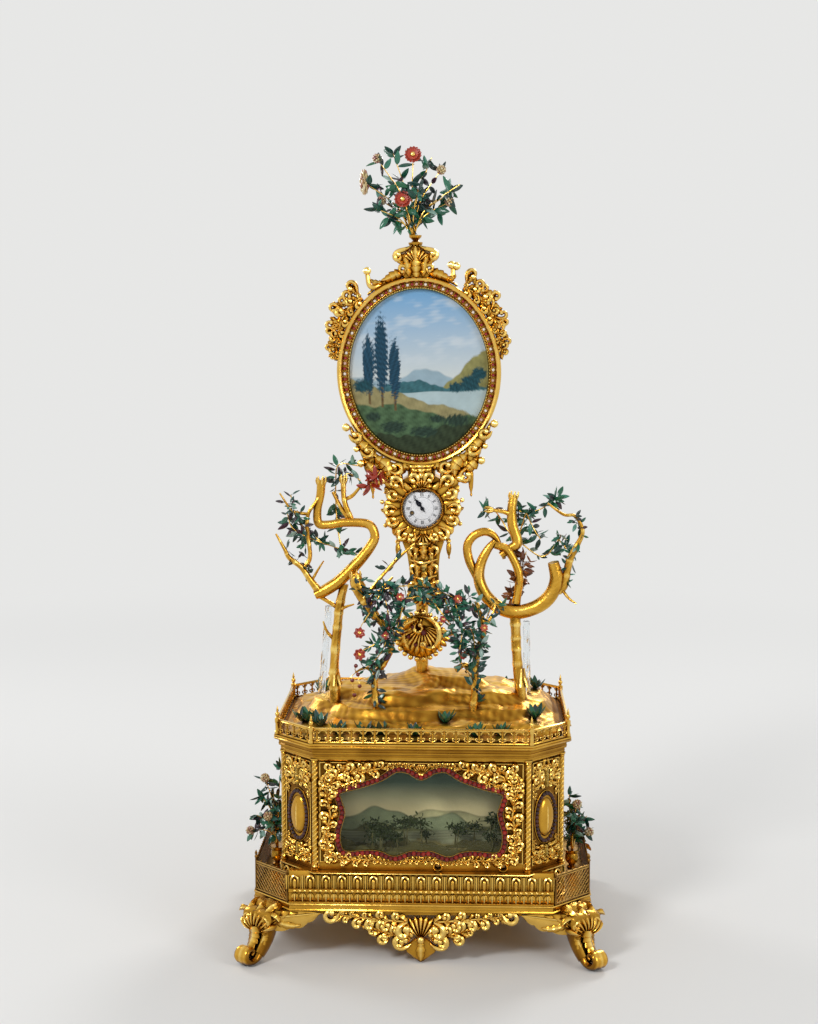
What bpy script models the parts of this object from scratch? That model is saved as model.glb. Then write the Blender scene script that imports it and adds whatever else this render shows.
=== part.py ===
"""Gilt bronze automaton table clock.

Metres, +Z up, front towards -Y, origin on the ground under the middle of the feet.
Point lists are in millimetres and are scaled by MM. The clock case, the oval picture
and the bouquet are modelled upright on the waist and hang on one empty that leans.
"""

import random
from math import atan2, cos, pi, radians, sin, sqrt, tau

import bmesh
import bpy
from mathutils import Matrix, Vector

for leftover in list(bpy.data.objects):
    bpy.data.objects.remove(leftover, do_unlink=True)

# Driving dimensions
MM = 0.001
GAP = 0.3 * MM

PLINTH_BOTTOM = 56 * MM
LEDGE_TOP = 64 * MM
PLINTH_TOP = 97.5 * MM
CABINET_TOP = 219.4 * MM
DECK = 237.1 * MM
PLINTH_PLAN = (182 * MM, 132 * MM, 42 * MM)
BLOCK_PLAN = (152 * MM, 128 * MM, 38 * MM)
CABINET_PLAN = (149.5 * MM, 118 * MM, 36.4 * MM)
GALLERY_PLAN = (157.3 * MM, 126 * MM, 40.7 * MM)
WALL = 3 * MM

WAIST = Vector((-0.4, 0, 410.6)) * MM
LEAN = radians(1.6)
DIAL_HEIGHT = 64 * MM
DIAL_RADIUS = 20.8 * MM
WINDING_X = -11.3 * MM
WINDING_HEIGHT = DIAL_HEIGHT - 4.6 * MM
MINUTE_TURN = radians(-36)
HOUR_TURN = radians(-33)
OVAL_HEIGHT = 213 * MM
PAINTING = (75.9 * MM, 89.9 * MM)
OVAL_SIDES = 32

PENDULUM_PIVOT = Vector((-4.6, -5, 446.6)) * MM
BOB_DROP = 122.6 * MM
BOB_RADIUS = 27.3 * MM
BOB_BEADS = 18
POST = Vector((-3, 8.5, 0)) * MM
POST_RADIUS = 7 * MM

BALUSTER_PITCH = 30 * MM
ROD_RADIUS = 4.2 * MM
ROD_LEFT = (Vector((-115.2, 0, 269)) * MM, Vector((-106.8, 0, 362)) * MM)
ROD_RIGHT = (Vector((114.6, 0, 272)) * MM, Vector((113.4, 0, 346)) * MM)

ARBOR_HEIGHT = 102.4 * MM
MUSIC_X = 17.7 * MM
AUTOMATON_X = 87.3 * MM

FRONT = Matrix.Rotation(radians(90), 4, "X")
UPRIGHT = Matrix.Identity(4)


# Materials
def metal(name, colour, roughness):
    return finish(name, colour, roughness, 1.0)


def finish(name, colour, roughness, metallic=0.0, transmission=0.0):
    material = bpy.data.materials.new(name)
    material.use_nodes = True
    shader = material.node_tree.nodes["Principled BSDF"]
    shader.inputs["Base Color"].default_value = (*colour, 1.0)
    shader.inputs["Roughness"].default_value = roughness
    shader.inputs["Metallic"].default_value = metallic
    shader.inputs["Transmission Weight"].default_value = transmission
    return material


GILT = metal("gilt_bronze", (0.83, 0.52, 0.12), 0.28)
DARK_GILT = metal("gilt_flat", (0.62, 0.40, 0.11), 0.42)
BRASS = metal("movement_brass", (0.75, 0.56, 0.25), 0.35)
STEEL = metal("blued_steel", (0.06, 0.08, 0.14), 0.30)
ENAMEL = finish("white_enamel", (0.86, 0.88, 0.90), 0.18)
RED_STONE = finish("red_stone", (0.42, 0.02, 0.04), 0.12)
PASTE = finish("paste_stones", (0.62, 0.40, 0.34), 0.10)
LEAF = finish("leaf_glass", (0.02, 0.16, 0.12), 0.15)
CLEAR = finish("clear_glass", (0.92, 0.95, 0.96), 0.05, 0.0, 0.9)
PICTURE = finish("painted_picture", (0.42, 0.52, 0.56), 0.35)
SCENERY = finish("painted_scenery", (0.36, 0.40, 0.30), 0.55)


# Shape makers
def facing_out(shape):
    """Turns all faces of a closed shape outwards."""
    bmesh.ops.recalc_face_normals(shape, faces=shape.faces[:])
    if shape.calc_volume(signed=True) < 0:
        bmesh.ops.reverse_faces(shape, faces=shape.faces[:])
    return shape


def piece(name, shape, material, smooth=35, parent=None, at=(0, 0, 0)):
    """Links a shape as one named piece whose origin is at the given place."""
    mesh = bpy.data.meshes.new(name)
    facing_out(shape).to_mesh(mesh)
    shape.free()
    mesh.materials.append(material)
    mesh.shade_smooth()
    mesh.set_sharp_from_angle(angle=radians(smooth))
    item = bpy.data.objects.new(name, mesh)
    bpy.context.scene.collection.objects.link(item)
    item.parent = parent
    item.location = at
    return item


def moved(shape, matrix):
    shape.transform(matrix)
    return shape


def shifted(shape, x=0.0, y=0.0, z=0.0):
    return moved(shape, Matrix.Translation((x, y, z)))


def mirrored(shape):
    """Mirrors a shape left to right."""
    shape.transform(Matrix.Scale(-1, 4, (1, 0, 0)))
    return facing_out(shape)


def scaled_points(points):
    return [tuple(value * MM for value in point) for point in points]


def stacked(rings, closed=False):
    """Skin through rings of equally many points, with end faces or closed back on itself."""
    shape = bmesh.new()
    loops = [[shape.verts.new(point) for point in ring] for ring in rings]
    pairs = list(zip(loops, loops[1:]))
    if closed:
        pairs.append((loops[-1], loops[0]))
    else:
        shape.faces.new(loops[0][::-1])
        shape.faces.new(loops[-1])
    for lower, upper in pairs:
        for index in range(len(lower)):
            after = (index + 1) % len(lower)
            shape.faces.new((lower[index], lower[after], upper[after], upper[index]))
    return facing_out(shape)


def turned(profile, sides, closed=False, place=UPRIGHT):
    """Spins a profile of (radius, height) about Z; a closed profile makes a ring."""
    shape = bmesh.new()
    points = [shape.verts.new((radius, 0, height)) for radius, height in profile]
    pairs = list(zip(points, points[1:]))
    if closed:
        pairs.append((points[-1], points[0]))
    edges = [shape.edges.new(pair) for pair in pairs]
    bmesh.ops.spin(shape, geom=points + edges, axis=(0, 0, 1), angle=tau, steps=sides, use_merge=True)
    bmesh.ops.remove_doubles(shape, verts=shape.verts[:], dist=1e-6)
    return moved(facing_out(shape), place)


def plate(outline, holes=(), front=0.0, back=0.002):
    """Flat plate seen from the front: loops of (x, z) in metres between two depths."""
    shape = bmesh.new()
    edges = []
    for loop in (outline, *holes):
        points = [shape.verts.new((x, front, z)) for x, z in loop]
        edges += [shape.edges.new(pair) for pair in zip(points, points[1:] + points[:1])]
    bmesh.ops.triangle_fill(shape, use_beauty=True, edges=edges)
    grown = bmesh.ops.extrude_face_region(shape, geom=shape.faces[:])
    new_points = [item for item in grown["geom"] if isinstance(item, bmesh.types.BMVert)]
    bmesh.ops.translate(shape, verts=new_points, vec=(0, back - front, 0))
    return facing_out(shape)


def box(low, high):
    shape = bmesh.new()
    size = [b - a for a, b in zip(low, high)]
    middle = [(a + b) / 2 for a, b in zip(low, high)]
    place = Matrix.Translation(middle) @ Matrix.Diagonal((*size, 1))
    bmesh.ops.create_cube(shape, size=1.0, matrix=place)
    return shape


def ball(centre, radius, level=1):
    shape = bmesh.new()
    bmesh.ops.create_icosphere(shape, subdivisions=level, radius=radius, matrix=Matrix.Translation(centre))
    return shape


def smooth_route(points, steps):
    """Points of a Catmull-Rom curve through the given points, ends included."""
    points = [Vector(point) for point in points]
    padded = [2 * points[0] - points[1], *points, 2 * points[-1] - points[-2]]
    route = []
    for a, b, c, d in zip(padded, padded[1:], padded[2:], padded[3:]):
        for step in range(steps):
            t = step / steps
            route.append(0.5 * (2 * b + (c - a) * t + (2 * a - 5 * b + 4 * c - d) * t * t
                                + (3 * b - a - 3 * c + d) * t ** 3))
    return route + [points[-1]]


def tube(points, radii, sides=6, steps=1):
    """Round limb along points, whose radius runs evenly through the given radii."""
    route = smooth_route(points, steps)
    curve = bpy.data.curves.new("limb", "CURVE")
    curve.dimensions = "3D"
    curve.bevel_depth = 1.0
    curve.bevel_resolution = (sides - 4) // 2
    curve.use_fill_caps = True
    spline = curve.splines.new("POLY")
    spline.points.add(len(route) - 1)
    for index, (point, place) in enumerate(zip(spline.points, route)):
        along = index / (len(route) - 1) * (len(radii) - 1)
        first = min(int(along), len(radii) - 2)
        point.co = (*place, 1)
        point.radius = radii[first] + (radii[first + 1] - radii[first]) * (along - first)
    guide = bpy.data.objects.new("limb", curve)
    bpy.context.scene.collection.objects.link(guide)
    shape = taken(guide)
    bmesh.ops.remove_doubles(shape, verts=shape.verts[:], dist=1e-6)
    return facing_out(shape)


def taken(guide):
    """The evaluated shape of a guide object, which is then removed."""
    bpy.context.view_layer.update()
    evaluated = guide.evaluated_get(bpy.context.evaluated_depsgraph_get())
    mesh = bpy.data.meshes.new_from_object(evaluated)
    shape = bmesh.new()
    shape.from_mesh(mesh)
    bpy.data.meshes.remove(mesh)
    bpy.data.objects.remove(guide, do_unlink=True)
    return shape


def joined(shapes):
    """Puts shapes that do not touch into one shape."""
    whole = bmesh.new()
    for shape in shapes:
        mesh = bpy.data.meshes.new("part")
        shape.to_mesh(mesh)
        shape.free()
        whole.from_mesh(mesh)
        bpy.data.meshes.remove(mesh)
    return whole


def as_guide(shape):
    mesh = bpy.data.meshes.new("guide")
    shape.to_mesh(mesh)
    shape.free()
    return bpy.data.objects.new("guide", mesh)


def combined(shape, others, operation):
    """One exact Boolean of a shape with a group of others."""
    base = as_guide(shape)
    guides = [as_guide(other) for other in others]
    group = bpy.data.collections.new("guides")
    bpy.context.scene.collection.children.link(group)
    for guide in guides:
        group.objects.link(guide)
    bpy.context.scene.collection.objects.link(base)
    modifier = base.modifiers.new("combine", "BOOLEAN")
    modifier.operation = operation
    modifier.solver = "EXACT"
    modifier.operand_type = "COLLECTION"
    modifier.collection = group
    modifier.use_self = operation == "UNION"
    result = taken(base)
    for guide in guides:
        bpy.data.objects.remove(guide, do_unlink=True)
    bpy.data.collections.remove(group)
    return result


def fused(shapes):
    return combined(shapes[0], shapes[1:], "UNION")


def cut(shape, cutters):
    return combined(shape, cutters, "DIFFERENCE")


def octagon(plan, height, inset=0.0):
    """Rectangle with cut corners, as a ring of points at one height."""
    half_x, half_y, corner = plan[0] - inset, plan[1] - inset, plan[2] - inset * (2 - sqrt(2))
    xs, ys = half_x - corner, half_y - corner
    points = [(xs, -half_y), (half_x, -ys), (half_x, ys), (xs, half_y),
              (-xs, half_y), (-half_x, ys), (-half_x, -ys), (-xs, -half_y)]
    return [(x, y, height) for x, y in points]


def ellipse(half_x, half_z, depth, sides=OVAL_SIDES, height=0.0):
    """Upright oval as a ring of points at one depth."""
    return [(half_x * cos(tau * i / sides), depth, height + half_z * sin(tau * i / sides))
            for i in range(sides)]


def circle(x, z, radius, sides=12):
    return [(x + radius * cos(tau * i / sides), z + radius * sin(tau * i / sides)) for i in range(sides)]


def both_sides(right_half):
    """Outline from a right half listed from its top centre to its bottom centre."""
    left_half = [(-x, z) for x, z in reversed(right_half) if x > 0]
    return scaled_points(right_half + left_half)


def leaf(root, direction, length, width, facing=(0, -1, 0)):
    """Pointed leaf: four edge points with a raised middle on both faces."""
    root, along = Vector(root), Vector(direction).normalized()
    across = along.cross(Vector(facing)).normalized()
    out = across.cross(along).normalized()
    middle = root + along * length * 0.45
    points = [root, middle + across * width / 2, root + along * length, middle - across * width / 2,
              middle + out * width * 0.18, middle - out * width * 0.18]
    shape = bmesh.new()
    corners = [shape.verts.new(point) for point in points]
    for index in range(4):
        after = (index + 1) % 4
        shape.faces.new((corners[index], corners[after], corners[4]))
        shape.faces.new((corners[after], corners[index], corners[5]))
    return facing_out(shape)


def rosette(centre, radius, facing):
    """Domed flower head, eight-sided, facing along a direction."""
    turn = Vector((0, 0, 1)).rotation_difference(Vector(facing)).to_matrix().to_4x4()
    profile = [(0, -0.35), (0.6, -0.3), (1.0, 0.0), (0.7, 0.4), (0, 0.55)]
    place = Matrix.Translation(centre) @ turn
    return turned([(r * radius, h * radius) for r, h in profile], 8, place=place)


# Feet, modelled at the front right corner and mirrored to the others
FOOT_SECTIONS = [
    # height, distance out, half breadth, half depth
    (55.7, -6, 30, 15), (49, 0, 31, 20), (41, 4, 24, 18), (33, 7, 13, 13),
    (25, 12, 11, 10), (17, 19, 10, 9), (10, 29, 10, 9)]
WING = [(0, 55.7), (62, 55.7), (60, 52), (42, 48), (30, 41), (22, 33), (16, 37), (0, 34)]


def foot(name, side_x, side_y):
    """Cabriole foot: stacked eight-sided sections, a scroll toe and two leaf wings."""
    corner = Vector((PLINTH_PLAN[0] - PLINTH_PLAN[2] / 2, -PLINTH_PLAN[1] + PLINTH_PLAN[2] / 2, 0))
    outward = Vector((0.59, -0.81, 0)).normalized()
    across = Vector((-outward.y, outward.x, 0))
    angles = [tau * (i + 0.5) / 8 for i in range(8)]
    rings = []
    for height, out, half_breadth, half_depth in scaled_points(FOOT_SECTIONS):
        centre = corner + outward * out + Vector((0, 0, height))
        rings.append([centre + across * half_breadth * cos(a) + outward * half_depth * sin(a) for a in angles])
    leg = stacked(rings[::-1])

    flat_radius, half_width = 9 * MM, 12 * MM
    radius = flat_radius / cos(pi / 8)
    along_width = across.to_track_quat("Z", "Y").to_matrix().to_4x4()
    toe_place = Matrix.Translation(corner + outward * 35 * MM + Vector((0, 0, flat_radius))) @ along_width
    toe = turned([(0, -half_width), (radius, -half_width), (radius, half_width), (0, half_width)], 8,
                 place=toe_place @ Matrix.Rotation(pi / 8, 4, "Z"))

    inward = [(-x, z) for x, z in WING]
    front_wing = shifted(plate(scaled_points(inward), (), 0, 5 * MM), 172 * MM, -129 * MM)
    turn = Matrix.Rotation(pi / 2, 4, "Z")
    side_wing = moved(plate(scaled_points(WING), (), 0, 5 * MM), Matrix.Translation((178 * MM, -118 * MM, 0)) @ turn)
    whole = fused([leg, toe, front_wing, side_wing])
    if side_x < 0:
        mirrored(whole)
    if side_y > 0:
        whole.transform(Matrix.Scale(-1, 4, (0, 1, 0)))
    return piece(name, whole, GILT, 50)


# Aprons, from the front apron's half outline
APRON_HALF = [(0, 55.7), (107, 55.7), (109, 49), (107, 41), (95, 47), (84, 32), (70, 28), (57, 35), (50, 27),
              (42, 31), (29, 16), (17, 22), (11, 14), (18, 6), (8, 6.5), (0, 1)]
APRON_HOLES = [(76, 45, 6), (55, 45.5, 6), (36, 40, 5.5), (15, 42, 6)]
APRON_REACH = 109 * MM
APRON_THICKNESS = 4 * MM


def apron(name, half_length, place):
    """Pierced scroll apron, drawn in to the length of its side."""
    stretch = half_length / APRON_REACH
    outline = [(x * stretch, z) for x, z in both_sides(APRON_HALF)]
    holes = [circle(side * x * stretch * MM, z * MM, radius * MM, 6)
             for x, z, radius in APRON_HOLES for side in (1, -1)]
    return piece(name, moved(plate(outline, holes, 0, APRON_THICKNESS), place), GILT)


# Plinth and cabinet
FRONT_MOULDING = [(116, 63), (131.5, 63), (131.5, 66), (128.5, 67), (128.5, 75), (131, 76.5), (131, 79.5),
                  (129, 81), (130.5, 86), (128, 93), (123, 97.5), (116, 97.5)]


def moulding_bar(section, half_length, turn):
    """Moulding section of (distance out, height) drawn out along a side."""
    rings = [[(x, -out, height) for out, height in scaled_points(section)]
             for x in (-half_length, half_length)]
    return moved(stacked(rings), Matrix.Rotation(turn, 4, "Z"))


def plinth():
    """Tray with a ledge slab, a block under the cabinet and a moulding along front and back."""
    floor = PLINTH_BOTTOM + 6 * MM
    rings = [octagon(PLINTH_PLAN, PLINTH_BOTTOM, 1 * MM), octagon(PLINTH_PLAN, PLINTH_BOTTOM + 2 * MM),
             octagon(PLINTH_PLAN, LEDGE_TOP), octagon(BLOCK_PLAN, LEDGE_TOP), octagon(BLOCK_PLAN, PLINTH_TOP),
             octagon(CABINET_PLAN, PLINTH_TOP, 8 * MM), octagon(CABINET_PLAN, floor, 8 * MM)]
    bars = [moulding_bar(FRONT_MOULDING, 140.8 * MM, turn) for turn in (0, pi)]
    return piece("plinth", fused([stacked(rings), *bars]), GILT, 30)


def bar_cutter(radius, place):
    """Long round cutter along Y."""
    profile = [(0, -30 * MM), (radius, -30 * MM), (radius, 30 * MM), (0, 30 * MM)]
    return moved(turned(profile, 8, place=FRONT), Matrix.Translation(place))


def oval_cutter(y, z, half_y, half_z):
    """Oval bar along X that pierces both side walls."""
    bar = turned([(0, -1), (1, -1), (1, 1), (0, 1)], 10, place=Matrix.Rotation(pi / 2, 4, "Y"))
    return moved(bar, Matrix.Translation((0, y, z)) @ Matrix.Diagonal((0.2, half_y, half_z, 1)))


WINDOW_OPENING = (96 * MM, 109 * MM, 212 * MM)
DOOR_OPENING = (76 * MM, 108 * MM, 210 * MM)
SIDE_OVALS = [-50 * MM, 0, 50 * MM]
WINDING_HOLE = 3.6 * MM


def cabinet():
    """Eight walls with a column on each corner, open for window, door, winding and side frets."""
    bottom = PLINTH_TOP + GAP
    walls = stacked([octagon(CABINET_PLAN, bottom), octagon(CABINET_PLAN, CABINET_TOP),
                     octagon(CABINET_PLAN, CABINET_TOP, WALL), octagon(CABINET_PLAN, bottom, WALL)], closed=True)
    columns = [tube([(x, y, bottom), (x, y, CABINET_TOP)], [3.4 * MM] * 2)
               for x, y, _ in octagon(CABINET_PLAN, 0)]
    depth = CABINET_PLAN[1]
    cutters = [box((-half, y - 3 * WALL, low), (half, y + 3 * WALL, high))
               for (half, low, high), y in ((WINDOW_OPENING, -depth), (DOOR_OPENING, depth))]
    cutters += [bar_cutter(WINDING_HOLE, (x, -depth, ARBOR_HEIGHT)) for x in (MUSIC_X, AUTOMATON_X)]
    cutters += [oval_cutter(y, 160 * MM, 19 * MM, 40 * MM) for y in SIDE_OVALS]
    return piece("cabinet_case", cut(fused([walls, *columns]), [joined(cutters)]), GILT)


# Window: one cartouche line gives the frame's opening and the stone border
CARTOUCHE_HALF = [(0, 200.5), (7, 203.5), (14, 207.5), (27, 208.5), (43, 199), (65, 191), (88, 184),
                  (87, 172), (84, 160), (89, 139), (87, 122), (79, 116), (56, 117.5), (43, 116),
                  (34, 112), (25, 111.5), (10, 117), (0, 116.5)]
FRAME_HOLES = [(99, 188, 6.5), (99, 164, 6.5), (99, 140, 6.5), (78, 203, 5.5), (59, 206, 5)]


def offset(outline, distance):
    """Moves a clockwise outline's points outwards along the mean of their two edges' normals."""
    result = []
    for before, here, after in zip(outline[-1:] + outline[:-1], outline, outline[1:] + outline[:1]):
        along = Vector((after[0] - before[0], after[1] - before[1])).normalized()
        result.append((here[0] - along.y * distance, here[1] + along.x * distance))
    return result


def window():
    cartouche = both_sides(CARTOUCHE_HALF)
    face = -CABINET_PLAN[1] - GAP
    frame_face = face - WALL
    border = [(-109, 106), (-109, 216), (109, 216), (109, 106)]
    holes = [circle(side * x * MM, z * MM, radius * MM, 6)
             for x, z, radius in FRAME_HOLES for side in ((1, -1) if x else (1,))]
    frame = plate(scaled_points(border), [offset(cartouche, -1.5 * MM), *holes], frame_face, face)
    piece("window_frame", frame, GILT)
    stones = plate(offset(cartouche, 2.7 * MM), [offset(cartouche, -2.7 * MM)],
                   frame_face - GAP - 3.3 * MM, frame_face - GAP)
    piece("window_stone_border", stones, RED_STONE)
    half, low, high = WINDOW_OPENING
    wall_face = -CABINET_PLAN[1]
    glass = box((-half + GAP, wall_face + 0.5 * MM, low + GAP), (half - GAP, wall_face + 2.5 * MM, high - GAP))
    piece("window_glass", glass, CLEAR)


# Scene behind the window
GROUND_LINE = [(-92, 108.4), (92, 108.4), (92, 122), (70, 120), (64, 124), (60, 132), (54, 133), (52, 126),
               (44, 119), (30, 121), (22, 126), (18, 138), (12, 139), (10, 128), (0, 120), (-14, 122),
               (-20, 132), (-26, 150), (-34, 152), (-38, 140), (-34, 130), (-40, 122), (-52, 124),
               (-56, 136), (-64, 137), (-68, 126), (-76, 120), (-92, 124)]


def window_scene():
    half_width, top, shelf = 104 * MM, 214 * MM, 106 * MM
    back = box((-half_width, -74 * MM, shelf), (half_width, -72 * MM, top))
    floor = box((-half_width, -112 * MM, shelf), (half_width, -73 * MM, shelf + 2 * MM))
    piece("scene_backdrop", fused([back, floor]), PICTURE)
    piece("scene_trees", plate(scaled_points(GROUND_LINE), (), -99 * MM, -97 * MM), SCENERY)


# Pierced panels with medallions on the chamfers
def corner_panel(name, turn):
    """Pierced panel with a raised oval, set just clear of its chamfer."""
    middle = 159 * MM
    holes = [circle(side * 10 * MM, middle + z * MM, 7 * MM, 6) for z in (-38, 38) for side in (1, -1)]
    outline = scaled_points([(-21.5, 102), (-21.5, 216), (21.5, 216), (21.5, 102)])
    back = -GAP
    face = plate(outline, holes, back - 2.5 * MM, back)
    boss = stacked([ellipse(half * MM, 1.6 * half * MM, depth * MM, 10, middle)
                    for half, depth in ((13, -1), (13, -4), (9, -5.5))])
    outwards = Matrix.Rotation(turn, 4, "Z") @ Vector((0, -1, 0))
    reach = CABINET_PLAN[2] / 2
    corner = Vector(((CABINET_PLAN[0] - reach) * (1 if outwards.x > 0 else -1),
                     (CABINET_PLAN[1] - reach) * (1 if outwards.y > 0 else -1), 0))
    place = Matrix.Translation(corner) @ Matrix.Rotation(turn, 4, "Z")
    return piece(name, moved(fused([face, boss]), place), GILT)


# Rear door, hinged on its right edge as the front sees it, with a turning knob
DOOR_HINGE = Vector((75.7, 120.9, 159)) * MM
KNOB_PLACE = Vector((-64, 118.3, 159)) * MM


def rear_door():
    half, low, high = DOOR_OPENING
    outside = CABINET_PLAN[1]
    margin = 0.5 * MM
    panel = box((-half + margin, outside - WALL, low + margin), (DOOR_HINGE.x - GAP, outside, high - margin))
    parts = [panel]
    for z in (125 * MM, 190 * MM):
        parts.append(box((60 * MM, outside - 1 * MM, z), (DOOR_HINGE.x, outside + 1.6 * MM, z + 12 * MM)))
        knuckle = turned([(0, 0), (2.6 * MM, 0), (2.6 * MM, 12 * MM), (0, 12 * MM)], 8)
        parts.append(shifted(knuckle, DOOR_HINGE.x, DOOR_HINGE.y, z))
    door = shifted(fused(parts), *-DOOR_HINGE)
    item = piece("rear_door", door, GILT, at=DOOR_HINGE)
    shaft = turned([(0, 0), (4 * MM, 0), (3 * MM, 2 * MM), (2 * MM, 7 * MM), (0, 7 * MM)], 8,
                   place=Matrix.Rotation(-pi / 2, 4, "X"))
    grip = moved(ball((0, 0, 0), 1, 1), Matrix.Translation((0, 8 * MM, 0)) @ Matrix.Diagonal(
        (3 * MM, 3.5 * MM, 9 * MM, 1)))
    piece("rear_door_knob", fused([shaft, grip]), GILT, parent=item, at=KNOB_PLACE - DOOR_HINGE)


# Cornice, deck and galleries
def platform():
    """Stepped cornice with a deck on top, hollow underneath."""
    bottom = CABINET_TOP + GAP
    rings = [octagon(CABINET_PLAN, 232 * MM, 8 * MM), octagon(CABINET_PLAN, bottom, 8 * MM),
             octagon(CABINET_PLAN, bottom, -3.5 * MM), octagon(CABINET_PLAN, 224 * MM, -3.5 * MM),
             octagon(CABINET_PLAN, 225 * MM, -5.5 * MM), octagon(CABINET_PLAN, 230 * MM, -5.5 * MM),
             octagon(GALLERY_PLAN, 232 * MM, -2 * MM), octagon(GALLERY_PLAN, DECK, -2 * MM)]
    return piece("platform", stacked(rings), GILT, 30)


FINIAL = [(0, 0), (3, 0), (3, 17), (1.4, 18.5), (2.7, 22.5), (0, 31)]


def window_boxes(start, end, width, low, high):
    """Cutters for evenly pitched openings along one straight run of a fence."""
    run = end - start
    count = int(run.length / BALUSTER_PITCH)
    along = run.normalized()
    turn = Matrix.Rotation(atan2(run.y, run.x), 4, "Z")
    size = Matrix.Diagonal((width, 12 * MM, high - low, 1))
    boxes = []
    for index in range(count):
        centre = start + along * (run.length / 2 + (index - (count - 1) / 2) * BALUSTER_PITCH)
        boxes.append(bmesh.new())
        place = Matrix.Translation((centre.x, centre.y, (low + high) / 2)) @ turn @ size
        bmesh.ops.create_cube(boxes[-1], size=1.0, matrix=place)
    return boxes


def gallery():
    """Balustrade round the deck: one strip with an opening between balusters, and corner finials."""
    low, high = DECK + GAP, 253.4 * MM
    strip = stacked([octagon(GALLERY_PLAN, low), octagon(GALLERY_PLAN, high),
                     octagon(GALLERY_PLAN, high, 2.2 * MM), octagon(GALLERY_PLAN, low, 2.2 * MM)], closed=True)
    corners = [Vector(point) for point in octagon(GALLERY_PLAN, 0, 1.1 * MM)]
    cutters = []
    for start, end in zip(corners, corners[1:] + corners[:1]):
        cutters += window_boxes(start, end, BALUSTER_PITCH - 4 * MM, low + 3 * MM, high - 3.4 * MM)
    posts = [shifted(turned(scaled_points(FINIAL), 6), corner.x, corner.y, low) for corner in corners]
    return piece("gallery", fused([cut(strip, [joined(cutters)]), *posts]), GILT)


def lower_gallery(name, side):
    """Mesh fence on the plinth's ledge, from the front moulding round to the back one."""
    low, high, half_thick = LEDGE_TOP + GAP, 98 * MM, 0.8 * MM
    inset = 1.7 * MM
    line = [Vector(point) for point in octagon(PLINTH_PLAN, 0, inset)[:4]]
    slope = (line[1] - line[0]).normalized()
    line[0] += slope * 5 * MM
    line[3] += Vector((slope.x, -slope.y, 0)) * 5 * MM
    outer, inner = [], []
    for point, out in zip(line, ((1, -1), (2.4, -1), (2.4, 1), (1, 1))):
        push = Vector((*out, 0)).normalized() * half_thick
        outer.append(point + push)
        inner.append(point - push)
    loop = outer + inner[::-1]
    strip = stacked([[(x, y, height) for x, y, _ in loop] for height in (low, high)])
    cutters = []
    for start, end in zip(line, line[1:]):
        cutters += window_boxes(start, end, BALUSTER_PITCH - 4 * MM, low + 3.5 * MM, high - 3.5 * MM)
    posts = []
    for point, height in zip(line, (36, 45, 45, 36)):
        post = [(0, 0), (1.5, 0), (1.5, 34), (0, height)]
        posts.append(shifted(turned(scaled_points(post), 6), point.x, point.y, low))
    whole = fused([cut(strip, [joined(cutters)]), *posts])
    return piece(name, whole if side > 0 else mirrored(whole), DARK_GILT)


# Mound, with a socket for everything that stands on the deck
SOCKETS = [((-98, -34), 7.2), ((107, -34), 7.2), ((-50, -62), 5.9), ((55, -62), 6.4),
           ((POST.x / MM, POST.y / MM), 7.6)]


def mound_height(x, y):
    """Rocky hill: a broad hump along the clock, falling to the front and back, with ledges."""
    hump = (1 - (abs(x / MM - 10) / 160) ** 2.2) * (1 - (y / MM / 97) ** 2)
    ledges = 2 * sin(x / MM / 11) * cos(y / MM / 14) + 1.2 * sin((x - 2 * y) / MM / 9)
    return max(5, 50 * max(hump, 0) + ledges) * MM


def mound():
    """Hill on a grid that fills the deck inside the gallery, with sockets cut down to the deck."""
    columns, rows = 16, 11
    half_x, half_y, corner = 150 * MM, 118 * MM, 38 * MM
    low = DECK + GAP
    shape = bmesh.new()
    grid = []
    for i in range(columns):
        x = half_x * (2 * i / (columns - 1) - 1)
        reach = half_y - max(0, abs(x) - (half_x - corner))
        ys = [reach * (2 * j / (rows - 1) - 1) for j in range(rows)]
        grid.append([shape.verts.new((x, y, low + mound_height(x, y))) for y in ys])
    for left, right in zip(grid, grid[1:]):
        for j in range(rows - 1):
            shape.faces.new((left[j], right[j], right[j + 1], left[j + 1]))
    rim = [row[0] for row in grid] + grid[-1][1:] + [row[-1] for row in grid[-2::-1]] + grid[0][-2:0:-1]
    foot_line = [shape.verts.new((vert.co.x, vert.co.y, low)) for vert in rim]
    for index in range(len(rim)):
        after = (index + 1) % len(rim)
        shape.faces.new((foot_line[index], foot_line[after], rim[after], rim[index]))
    shape.faces.new(foot_line[::-1])
    facing_out(shape)
    cutters = []
    for (x, y), radius in SOCKETS:
        profile = scaled_points([(0, -10), (radius, -10), (radius, 90), (0, 90)])
        cutters.append(shifted(turned(profile, 8), x * MM, y * MM, DECK))
    for low_end, high_end in (ROD_LEFT, ROD_RIGHT):
        slope = (high_end - low_end).normalized()
        radius = ROD_RADIUS + 0.9 * MM
        cutters.append(tube([low_end - slope * 15 * MM, low_end + slope * 30 * MM], [radius, radius]))
    return piece("mound", cut(shape, [joined(cutters)]), GILT, 25)


# Trees: limbs are routes of (x, z) in the plane of the tree, with their own depths
def limb(points, radii, depth):
    """Tube through (x, z) points whose depth runs evenly between two values; thin twigs get four sides."""
    first, last = depth if isinstance(depth, tuple) else (depth, depth)
    route = [(x, first + (last - first) * i / (len(points) - 1), z) for i, (x, z) in enumerate(points)]
    return tube(scaled_points(route), [radius * MM for radius in radii], 6 if max(radii) > 3 else 4)


SOCKET_FOOT = 237.8


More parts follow.
